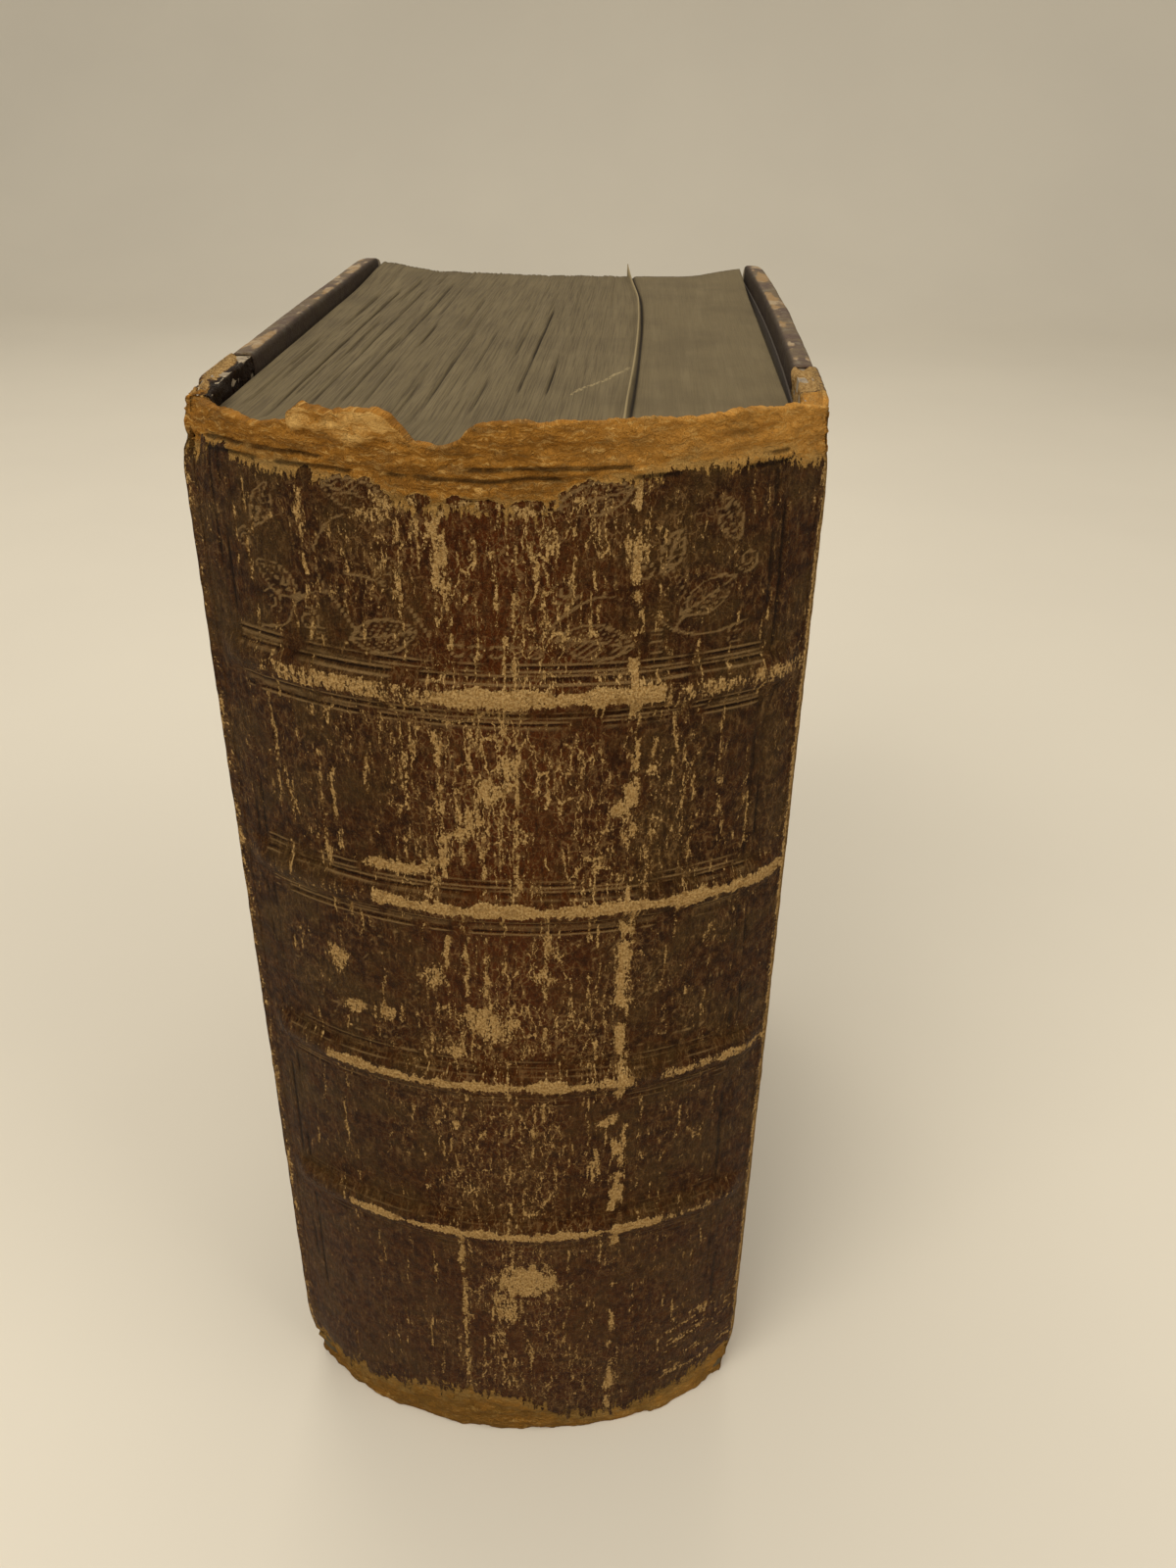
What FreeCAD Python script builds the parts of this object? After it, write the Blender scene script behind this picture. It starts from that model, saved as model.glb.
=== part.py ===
import FreeCAD, Part
import math
import os

# An antique book in a quarter leather binding, standing on its tail edges.
# Millimetres. X runs through the thickness with the front cover on +X, Y runs from the
# spine (-Y) to the fore-edge (+Y), Z is up. The pieces are worked out with the joint
# plane at y = 0, and the whole book is then set with its foot's centre at the origin.

# Covered boards
cover_height = 190.0          # tail to head over the turn-ins
board_width = 126.5           # joint to fore-edge, bare board
board_thickness = 2.6
board_corner_radius = 4.0     # worn fore-edge corners
front_joint_step = 0.6        # bare front board, at its edges, inside the spine's half width
front_bow = 1.3               # the front board is warped outward
back_joint_step = 0.0
back_bow = 0.4
edge_skin = 0.4               # pared leather or paper round the board's edges
lap_leather = 0.8             # covering leather on the boards
lap_width = 25.0              # how far the spine leather laps onto each board
lap_edge_round = 0.7          # rubbed corner of the lap at the joint
lap_turn_in = 12.0
side_paper = 0.35
side_turn_in = 15.0
pastedown_thickness = 0.25
pastedown_margin = 3.0        # turn-in left showing round the pastedown

# Spine
spine_half_width = 41.3
spine_bulge = 14.8            # depth of the rounded back
spine_leather = 1.0
headcap_leather = 0.8         # leather turned in behind the head and tail of the spine
band_count = 4
head_panel = 33.8             # head of the boards to the first band
band_spacing = 33.6
band_width = 5.4
band_rise = 1.3
band_run_out = 5.0            # length in which a band dies away at each joint
band_stop = 1.0               # how far short of the joint plane a band ends
band_root = 0.2               # how far a ridge is let into what carries it
cord_width = 3.2
cord_rise = 1.25
cord_flat = 1.6               # the cord's crest, pressed flat by the leather

# Head edge of the spine leather, torn and worn: distance along the leather from the
# middle of the spine, and height above the boards' head
head_edge = [(-41, -1.0), (-26, -1.0), (-25, 1.8), (-12, 2.0), (-10.5, -1.3), (-3, -1.6),
             (-1, 1.3), (38, 1.4)]
head_edge_at_joints = 0.2     # height above the boards' head at both joints

# Text block
head_square = 2.4             # board standing past the leaves
tail_square = 2.4
fore_edge_square = 2.0
fore_edge_hollow = 7.5
proud_leaf_thickness = 0.5
proud_leaf_rise = 1.0
proud_leaf_reach = 4.0        # past the hollow of the fore-edge
proud_leaf_back_x = 14.8      # where the leaf leaves the back, from the middle plane
proud_leaf_middle_x = 16.4
proud_leaf_tip_x = 13.8
proud_leaf_start = 3.0        # behind the joint plane

# Clearances
cover_clearance = 0.3         # between each pastedown and the block
joint_clearance = 0.3         # between the boards and the spine's side edges
glue_line = 0.05
seam = 0.05                   # between the lap and the side paper
overrun = 1.0                 # how far a cutting shape runs past what it cuts

V = FreeCAD.Vector
UP = V(0, 0, 1)

spine_radius = (spine_half_width ** 2 + spine_bulge ** 2) / (2 * spine_bulge)
spine_centre = spine_radius - spine_bulge
back_radius = spine_radius - spine_leather - glue_line
block_foot = tail_square
block_head = cover_height - head_square
inside_layers = board_thickness + edge_skin + pastedown_thickness
full_height = (-overrun, cover_height + overrun)
band_heights = [cover_height - head_panel - number * band_spacing for number in range(band_count)]

# Each cover's chord is where its bare board lies at both edges, from the middle plane
front = {"side": 1, "chord": spine_half_width - front_joint_step, "bow": front_bow}
back = {"side": -1, "chord": spine_half_width - back_joint_step, "bow": back_bow}


def prism(edges, foot, head):
    """Upright solid over a closed plan outline."""
    base = Part.Face(Part.Wire(edges))
    base.translate(V(0, 0, foot))
    return base.extrude(V(0, 0, head - foot))


def line(start, end):
    return Part.LineSegment(start, end).toShape()


def arc(start, middle, end):
    return Part.Arc(start, middle, end).toShape()


def spine_point(radius, degrees):
    angle = math.radians(degrees)
    return V(radius * math.sin(angle), spine_centre - radius * math.cos(angle), 0)


def reach_at(radius, y):
    """Half width of a circle about the spine's centre, on the plan line y."""
    return math.sqrt(radius ** 2 - (spine_centre - y) ** 2)


def spine_shell(inner, outer, foot, head):
    """Shell between two circles about the spine's centre, cut off at the joint plane."""
    a = V(reach_at(outer, 0), 0, 0)
    b = V(reach_at(inner, 0), 0, 0)
    edges = [arc(V(-a.x, 0, 0), V(0, spine_centre - outer, 0), a),
             line(a, b),
             arc(b, V(0, spine_centre - inner, 0), V(-b.x, 0, 0)),
             line(V(-b.x, 0, 0), V(-a.x, 0, 0))]
    return prism(edges, foot, head)


def crest_edges(foot, head, rise, flat):
    """Rounded outline of a ridge's section, or one with a flat crest of that width."""
    out = V(0, -rise, 0)
    middle = (foot + head) * 0.5 + out
    if not flat:
        return [arc(foot, middle, head)]
    low = middle - V(0, 0, flat / 2)
    high = middle + V(0, 0, flat / 2)
    return [line(foot, low), line(low, high), line(high, head)]


def ridge(base_radius, width, rise, height, flat=0):
    """Ridge across the back that dies away at both joints."""
    run_out_angle = math.degrees(band_run_out / spine_radius)
    end_angle = math.degrees(math.acos((spine_centre + band_stop) / (base_radius - band_root)))
    foot = V(0, spine_centre - base_radius, height - width / 2)
    head = V(0, spine_centre - base_radius, height + width / 2)
    depth = V(0, band_root, 0)
    section = Part.Face(Part.Wire(crest_edges(foot, head, rise, flat)
                                  + [line(head, head + depth), line(head + depth, foot + depth),
                                     line(foot + depth, foot)]))
    centre = V(0, spine_centre, 0)
    section.rotate(centre, UP, -end_angle)
    ring = section.revolve(centre, UP, 2 * end_angle)
    inner = base_radius - band_root
    outer = base_radius + rise + band_root
    crest_angle = end_angle - run_out_angle
    plan = [arc(spine_point(inner, -end_angle), spine_point(inner, 0), spine_point(inner, end_angle)),
            line(spine_point(inner, end_angle), spine_point(outer, crest_angle)),
            arc(spine_point(outer, crest_angle), spine_point(outer, 0), spine_point(outer, -crest_angle)),
            line(spine_point(outer, -crest_angle), spine_point(inner, -end_angle))]
    return ring.common(prism(plan, height - width, height + width))


def cover_x(cover, y, offset):
    """X of a cover face on the plan line y, offset outward from the bare board."""
    half = board_width / 2
    radius = (half ** 2 + cover["bow"] ** 2) / (2 * cover["bow"])
    centre = cover["chord"] + cover["bow"] - radius
    return cover["side"] * (centre + math.sqrt((radius + offset) ** 2 - (y - half) ** 2))


def cover_slab(cover, y_range, z_range, offsets):
    """Bowed slab of a cover between two plan lines, two heights and two offsets."""
    near, far = y_range
    middle = (near + far) / 2
    inner, outer = offsets
    points = {}
    for name, offset in (("inner", inner), ("outer", outer)):
        points[name] = [V(cover_x(cover, y, offset), y, 0) for y in (near, middle, far)]
    a, b, c = points["outer"]
    d, e, f = points["inner"]
    return prism([arc(a, b, c), line(c, f), arc(f, e, d), line(d, a)], *z_range)


def outline(cover, margin):
    """Block with the board's outline seen from the side, grown by margin."""
    reach = 2 * cover["chord"]
    width = board_width + margin + reach
    height = cover_height - 2 * edge_skin + 2 * margin
    corner = V(min(0, cover["side"] * reach), -reach, edge_skin - margin)
    box = Part.makeBox(reach, width, height, corner)
    far = board_width + margin
    corners = [e for e in box.Edges
               if abs(e.CenterOfMass.y - far) < 1e-6 and abs(e.CenterOfMass.x) > reach / 4
               and abs(e.CenterOfMass.x) < reach * 3 / 4]
    return box.makeFillet(board_corner_radius + margin, corners)


def make_board(cover):
    slab = cover_slab(cover, (joint_clearance, board_width + overrun), full_height, (-board_thickness, 0))
    return slab.common(outline(cover, 0))


def turned_skin(cover, board, y_range, face_skin, turn_in, window_end):
    """Leather or paper over a board's face, round its edges and onto its inner face."""
    slab = cover_slab(cover, y_range, full_height, (-board_thickness - edge_skin, face_skin))
    window = cover_slab(cover, (y_range[0] - overrun, window_end), (turn_in, cover_height - turn_in),
                        (-board_thickness - 2 * edge_skin, -board_thickness))
    return slab.common(outline(cover, edge_skin)).cut(board).cut(window)


def make_lap(cover, board):
    """The spine leather's lap on a board, with its joint edge rubbed round."""
    y_range = (joint_clearance, lap_width)
    skin = turned_skin(cover, board, y_range, lap_leather, lap_turn_in, lap_width + overrun)
    joint_x = cover_x(cover, joint_clearance, lap_leather)
    edges = [e for e in skin.Edges
             if abs(e.CenterOfMass.x - joint_x) < 0.01 and abs(e.CenterOfMass.y - joint_clearance) < 0.01]
    return skin.makeFillet(min(lap_edge_round, 0.9 * lap_leather), edges)


def make_side_paper(cover, board):
    y_range = (lap_width + seam, board_width + edge_skin + overrun)
    window_end = board_width + edge_skin - side_turn_in
    return turned_skin(cover, board, y_range, side_paper, side_turn_in, window_end)


def make_pastedown(cover, skins):
    margin = edge_skin + pastedown_margin
    sheet = cover_slab(cover, (margin, board_width - pastedown_margin), (margin, cover_height - margin),
                       (-inside_layers, -board_thickness - glue_line))
    for skin in skins:
        sheet = sheet.cut(skin)
    return sheet


def block_side(cover):
    """Where the block's outer leaf lies, clear of the pastedown along its whole width."""
    inner = abs(cover_x(cover, joint_clearance, -inside_layers))
    return cover["side"] * (inner - cover_clearance)


def make_text_block():
    """All leaves as one solid: rounded back, shoulders, hollow fore-edge, one proud leaf."""
    shoulder = reach_at(back_radius, 0)
    right = block_side(front)
    left = block_side(back)
    far = board_width - fore_edge_square
    hollow = V((left + right) / 2, far - fore_edge_hollow, 0)
    edges = [arc(V(-shoulder, 0, 0), V(0, spine_centre - back_radius, 0), V(shoulder, 0, 0)),
             line(V(shoulder, 0, 0), V(right, 0, 0)),
             line(V(right, 0, 0), V(right, far, 0)),
             arc(V(right, far, 0), hollow, V(left, far, 0)),
             line(V(left, far, 0), V(left, 0, 0)),
             line(V(left, 0, 0), V(-shoulder, 0, 0))]
    block = prism(edges, block_foot, block_head)
    return block.fuse(make_proud_leaf(far - fore_edge_hollow)).removeSplitter()


def make_proud_leaf(hollow_y):
    tip_y = hollow_y + proud_leaf_reach
    middle_y = (proud_leaf_start + tip_y) / 2
    path = [V(proud_leaf_back_x, proud_leaf_start, 0), V(proud_leaf_middle_x, middle_y, 0),
            V(proud_leaf_tip_x, tip_y, 0)]
    half = V(proud_leaf_thickness / 2, 0, 0)
    near_side = [p - half for p in path]
    far_side = [p + half for p in path]
    edges = [arc(*near_side), line(near_side[2], far_side[2]), arc(*far_side[::-1]),
             line(far_side[0], near_side[0])]
    return prism(edges, block_foot, block_head + proud_leaf_rise)


def make_cord(height):
    """Sewing cord over the back of the leaves, under one raised band."""
    grown_back = spine_shell(back_radius - cord_width, back_radius + glue_line,
                             height - cord_width, height + cord_width)
    return ridge(back_radius, cord_width, cord_rise, height, cord_flat).cut(grown_back)


def make_spine_leather():
    """One leather back with raised bands, turned in at head and tail, torn at the head."""
    tallest = cover_height + max(rise for along, rise in head_edge)
    leather = spine_shell(spine_radius - spine_leather, spine_radius, 0, tallest)
    inner = back_radius - headcap_leather
    for foot, head in ((0, block_foot - glue_line), (block_head + glue_line, tallest)):
        leather = leather.fuse(spine_shell(inner, spine_radius - spine_leather, foot, head))
    for height in band_heights:
        leather = leather.fuse(ridge(spine_radius, band_width, band_rise, height))
        channel = ridge(back_radius, cord_width + 2 * glue_line, cord_rise + glue_line, height, cord_flat)
        leather = leather.cut(channel)
    return leather.cut(head_loss(tallest)).removeSplitter()


def head_loss(tallest):
    """Everything above the torn head edge, as a prism through the spine."""
    above = tallest + overrun
    reach = spine_half_width + overrun
    joint_height = cover_height + head_edge_at_joints
    points = [V(-reach, 0, above), V(-reach, 0, joint_height)]
    for along, rise in head_edge:
        points.append(V(spine_radius * math.sin(along / spine_radius), 0, cover_height + rise))
    points += [V(reach, 0, joint_height), V(reach, 0, above)]
    face = Part.Face(Part.makePolygon(points + points[:1]))
    face.translate(V(0, -2 * spine_bulge, 0))
    return face.extrude(V(0, 3 * spine_bulge, 0))


def make_cover(cover, name):
    board = make_board(cover)
    lap = make_lap(cover, board)
    side = make_side_paper(cover, board)
    return {name + "_board": board, name + "_leather_lap": lap, name + "_side_paper": side,
            name + "_pastedown": make_pastedown(cover, [lap, side])}


def make_book():
    pieces = {"text_block": make_text_block(), "spine_leather": make_spine_leather()}
    for number, height in enumerate(band_heights, start=1):
        pieces["sewing_cord_%d" % number] = make_cord(height)
    pieces.update(make_cover(front, "front"))
    pieces.update(make_cover(back, "back"))
    return pieces


def widest(cover):
    """Furthest that a cover reaches from the middle plane."""
    paper_reach = cover["chord"] + cover["bow"] + side_paper
    return max(paper_reach, abs(cover_x(cover, lap_width, lap_leather)))


def foot_centre():
    """Middle of the book's plan box, as a place in the joint plane's frame."""
    near = -spine_bulge - band_rise
    far = board_width + edge_skin
    return V((widest(front) - widest(back)) / 2, (near + far) / 2, 0)


def hinge(cover):
    """The joint's turning line, on the outer face of the leather."""
    return V(cover_x(cover, joint_clearance, lap_leather), joint_clearance / 2, 0)


os.makedirs("parts", exist_ok=True)
centre = foot_centre()
for name, shape in make_book().items():
    shape.translate(-centre)
    solids = shape.Solids
    if len(solids) == 1:
        shape = solids[0]
    box = shape.optimalBoundingBox(False)
    print("%-20s solids %d valid %s volume %.1f  x %.2f %.2f  y %.2f %.2f  z %.2f %.2f" % (
        name, len(solids), shape.isValid(), shape.Volume,
        box.XMin, box.XMax, box.YMin, box.YMax, box.ZMin, box.ZMax))
    shape.exportStep("parts/%s.step" % name)
for name, cover in (("front", front), ("back", back)):
    place = hinge(cover) - centre
    print("%s hinge at x %.3f y %.3f" % (name, place.x, place.y))
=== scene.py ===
import bmesh
import bpy
import math
import numpy as np
from mathutils import Matrix, Vector


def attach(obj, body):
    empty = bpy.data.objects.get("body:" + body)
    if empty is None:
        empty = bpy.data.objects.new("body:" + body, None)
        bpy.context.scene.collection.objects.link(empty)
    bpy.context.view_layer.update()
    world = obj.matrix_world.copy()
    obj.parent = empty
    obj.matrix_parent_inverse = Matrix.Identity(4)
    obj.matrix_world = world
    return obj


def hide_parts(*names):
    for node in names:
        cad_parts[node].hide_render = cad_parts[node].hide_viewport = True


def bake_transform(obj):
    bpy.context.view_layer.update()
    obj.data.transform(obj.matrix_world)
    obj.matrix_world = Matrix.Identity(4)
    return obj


# Looks of an old quarter leather book that stands on its tail with its covers closed.
# All lengths in this script are millimetres until a mesh is made.

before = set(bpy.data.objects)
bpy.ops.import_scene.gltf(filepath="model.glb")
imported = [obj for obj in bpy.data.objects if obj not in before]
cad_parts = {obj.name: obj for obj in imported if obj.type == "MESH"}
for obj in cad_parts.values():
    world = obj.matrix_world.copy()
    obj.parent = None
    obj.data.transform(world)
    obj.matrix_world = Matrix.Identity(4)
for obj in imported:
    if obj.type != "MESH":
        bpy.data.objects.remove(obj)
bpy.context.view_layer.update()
print("frame loaded:", len(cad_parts), "pieces")

book = {
    "jointY": -55.4,          # plane where the spine leather meets the boards
    "height": 190.0,
    "boardWidth": 126.5,
    "boardThickness": 2.6,
    "edgeSkin": 0.4,
    "cornerRadius": 4.0,
    "frontChord": 40.7,
    "frontBow": 1.3,
    "backChord": 41.3,
    "backBow": 0.4,
    "spineRadius": 65.025,
    "spineCentreY": -5.175,
    "spineHalfGirth": 44.75,  # along the leather, from mid spine to a joint
    "bands": (156.2, 122.6, 89.0, 55.4),
    "bandSpacing": 33.6,
}


# small helpers: seeded noise, ramps, meshes

def lattice(ix, iy, seed):
    h = (ix * 73856093) ^ (iy * 19349663) ^ (seed * 83492791 + 1013904223)
    h = ((h ^ (h >> 13)) * 1274126177) & 0x7FFFFFFF
    h = ((h ^ (h >> 15)) * 668265263) & 0x7FFFFFFF
    return ((h ^ (h >> 13)) & 0xFFFF) / 65535.0


def noise(x, y, seed):
    # smooth noise from 0 to 1, one lump a unit
    x, y = np.broadcast_arrays(np.asarray(x, float), np.asarray(y, float))
    ix = np.floor(x).astype(np.int64)
    iy = np.floor(y).astype(np.int64)
    fx = x - ix
    fy = y - iy
    fx = fx * fx * (3 - 2 * fx)
    fy = fy * fy * (3 - 2 * fy)
    low = lattice(ix, iy, seed) * (1 - fx) + lattice(ix + 1, iy, seed) * fx
    high = lattice(ix, iy + 1, seed) * (1 - fx) + lattice(ix + 1, iy + 1, seed) * fx
    return low * (1 - fy) + high * fy


def layered(x, y, seed, layers=3):
    total = 0.0
    weight = 0.0
    for n in range(layers):
        total = total + noise(np.asarray(x) * 2 ** n, np.asarray(y) * 2 ** n, seed + 17 * n) / 2 ** n
        weight += 1 / 2 ** n
    return total / weight


def swing(x, y, seed, layers=3):
    # layered noise that swings about nothing
    return layered(x, y, seed, layers) - 0.5


def ramp(value, low, high):
    t = np.clip((value - low) / (high - low), 0, 1)
    return t * t * (3 - 2 * t)


def window(value, a, b, c, d):
    # rises from a to b and falls from c to d
    return ramp(value, a, b) * ramp(-value, -d, -c)


def peak(value, width):
    return np.exp(-(value / width) ** 2)


def buildMesh(name, points, faces, smooth=True):
    mesh = bpy.data.meshes.new(name)
    mesh.from_pydata((np.asarray(points) / 1000).tolist(), [], faces)
    mesh.validate()
    if smooth:
        mesh.polygons.foreach_set("use_smooth", np.ones(len(mesh.polygons), dtype=bool))
    obj = bpy.data.objects.new(name, mesh)
    bpy.context.scene.collection.objects.link(obj)
    return obj


def store(obj, name, values, vector=False):
    kind, field = ("FLOAT_VECTOR", "vector") if vector else ("FLOAT", "value")
    layer = obj.data.attributes.new(name, kind, "POINT")
    layer.data.foreach_set(field, np.ascontiguousarray(values, np.float32).ravel())


def standFor(obj, node, material, body=None):
    # gives a piece its material and its body, with no body where it blends, and hides the frame's node that
    # it stands for
    obj.data.materials.append(material)
    if body:
        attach(obj, body)
    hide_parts(node)
    print(obj.name + ":", len(obj.data.polygons), "faces")


def gridFaces(rows, columns, closeRows=False):
    # quads of a grid stored column by column, with rows points in each column
    faces = []
    for a in range(0, (columns - 1) * rows, rows):
        for r in range(rows if closeRows else rows - 1):
            s = (r + 1) % rows
            faces.append((a + r, a + rows + r, a + rows + s, a + s))
    return faces


def vertexNormals(points, faces):
    normals = np.zeros_like(points)
    quads = np.array(faces)
    a, b, c, d = (points[quads[:, k]] for k in range(4))
    across = np.cross(c - a, d - b)
    for k in range(4):
        np.add.at(normals, quads[:, k], across)
    return normals / np.maximum(np.linalg.norm(normals, axis=1, keepdims=True), 1e-9)


def faceOut(points, faces, side, where=slice(None)):
    # turns the faces so that those at the chosen points look away from the leaves
    normals = vertexNormals(points, faces)
    if (normals[:, 0] * side)[where].mean() < 0:
        return [tuple(reversed(face)) for face in faces], -normals
    return faces, normals


def thicken(points, faces, thickness):
    # closed solid from a sheet of quads: a copy of it set inward, and a rim along its free edges
    count = len(points)
    inner = points - vertexNormals(points, faces) * np.reshape(thickness, (-1, 1))
    used = {}
    for face in faces:
        for a, b in zip(face, face[1:] + face[:1]):
            key = (a, b) if a < b else (b, a)
            used[key] = None if key in used else (a, b)
    solid = list(faces)
    solid += [tuple(count + i for i in reversed(face)) for face in faces]
    solid += [(b, a, count + a, count + b) for a, b in (e for e in used.values() if e)]
    return np.vstack([points, inner]), solid


# materials

def colour(text):
    values = [int(text[k:k + 2], 16) / 255 for k in (1, 3, 5)]
    return [v / 12.92 if v <= 0.04045 else ((v + 0.055) / 1.055) ** 2.4 for v in values] + [1.0]


def add(tree, kind, links=None, out=0, **settings):
    # one node with its settings and links: gives an output, or the node itself where out is None
    item = tree.nodes.new("ShaderNode" + kind)
    for key, value in settings.items():
        setattr(item, key, value)
    for socket, value in (links or {}).items():
        target = item.inputs[socket]
        if isinstance(value, bpy.types.NodeSocket):
            tree.links.new(value, target)
        else:
            target.default_value = value
    return item if out is None else item.outputs[out]


def newMaterial(name, values):
    # values go on the shader's own sockets
    material = bpy.data.materials.new(name)
    material.use_nodes = True
    tree = material.node_tree
    tree.nodes.clear()
    shader = add(tree, "BsdfPrincipled", values, out=None)
    add(tree, "OutputMaterial", {"Surface": shader.outputs[0]}, out=None)
    return material, tree, shader


def joinShader(tree, shader, base, height, depth, strength=1.0):
    # the finish's colour, and its relief with the depth in metres
    tree.links.new(base, shader.inputs["Base Color"])
    relief = add(tree, "Bump", {"Height": height, "Distance": depth, "Strength": strength})
    tree.links.new(relief, shader.inputs["Normal"])


def readMaps(tree, *names):
    return [add(tree, "Attribute", out="Fac", attribute_name=name) for name in names]


def mottle(tree, vector, scale, detail=4, rough=0.6, stretch=(1, 1, 1)):
    # clouds with lumps of 1 / scale, in the units of the vector, shortened by stretch
    mapped = add(tree, "Mapping", {"Vector": vector, "Scale": stretch})
    return add(tree, "TexNoise", {"Vector": mapped, "Scale": scale, "Detail": detail, "Roughness": rough})


def cellEdges(tree, vector, stretch):
    # distance to the edges of irregular cells, one cell a unit
    mapped = add(tree, "Mapping", {"Vector": vector, "Scale": stretch})
    return add(tree, "TexVoronoi", {"Vector": mapped, "Scale": 1.0}, feature="DISTANCE_TO_EDGE")


def maskOf(tree, *steps):
    # product of maps and of smooth steps: value, low, high, what it gives at high (1) and at low (0)
    product = None
    for step in steps:
        if isinstance(step, tuple):
            value, low, high, top, bottom = step + (1.0, 0.0)[len(step) - 3:]
            step = add(tree, "MapRange", {"Value": value, 1: low, 2: high, 3: bottom, 4: top},
                       interpolation_type="SMOOTHSTEP")
        if product is not None:
            step = add(tree, "Math", {0: product, 1: step}, operation="MULTIPLY")
        product = step
    return product


def layColours(tree, base, *layers):
    # lays colours over a base, each where its mask's steps show it
    for tint, *steps in layers:
        base = add(tree, "Mix", {0: maskOf(tree, *steps), 6: base, 7: tint}, out=2, data_type="RGBA")
    return base


def totalOf(tree, start, *parts, centre=0.0):
    # start and each part's amount of it, where a part counts from centre
    for value, amount in parts:
        if centre:
            value = add(tree, "Math", {0: value, 1: centre}, operation="SUBTRACT")
        start = add(tree, "Math", {0: value, 1: amount, 2: start}, operation="MULTIPLY_ADD")
    return start


def coloursOf(look):
    return {key: colour(value) for key, value in look.items()}


leatherLook = {
    "deep": "#271101", "brown": "#462608", "olive": "#493414", "red": "#512504", "scuff": "#84643b",
    "tan": "#936e3a", "paleTan": "#bf9a61", "tanEdge": "#6b481d",
    "suedeDark": "#754812", "suede": "#a8722b", "suedeLight": "#d9aa5f", "suedeFoot": "#b18d50",
    "suedeRight": "#cb9040", "rubbedTail": "#694d20", "flap": "#dcab60",
    "groove": "#170b03", "lip": "#8a6c42",
}


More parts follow.
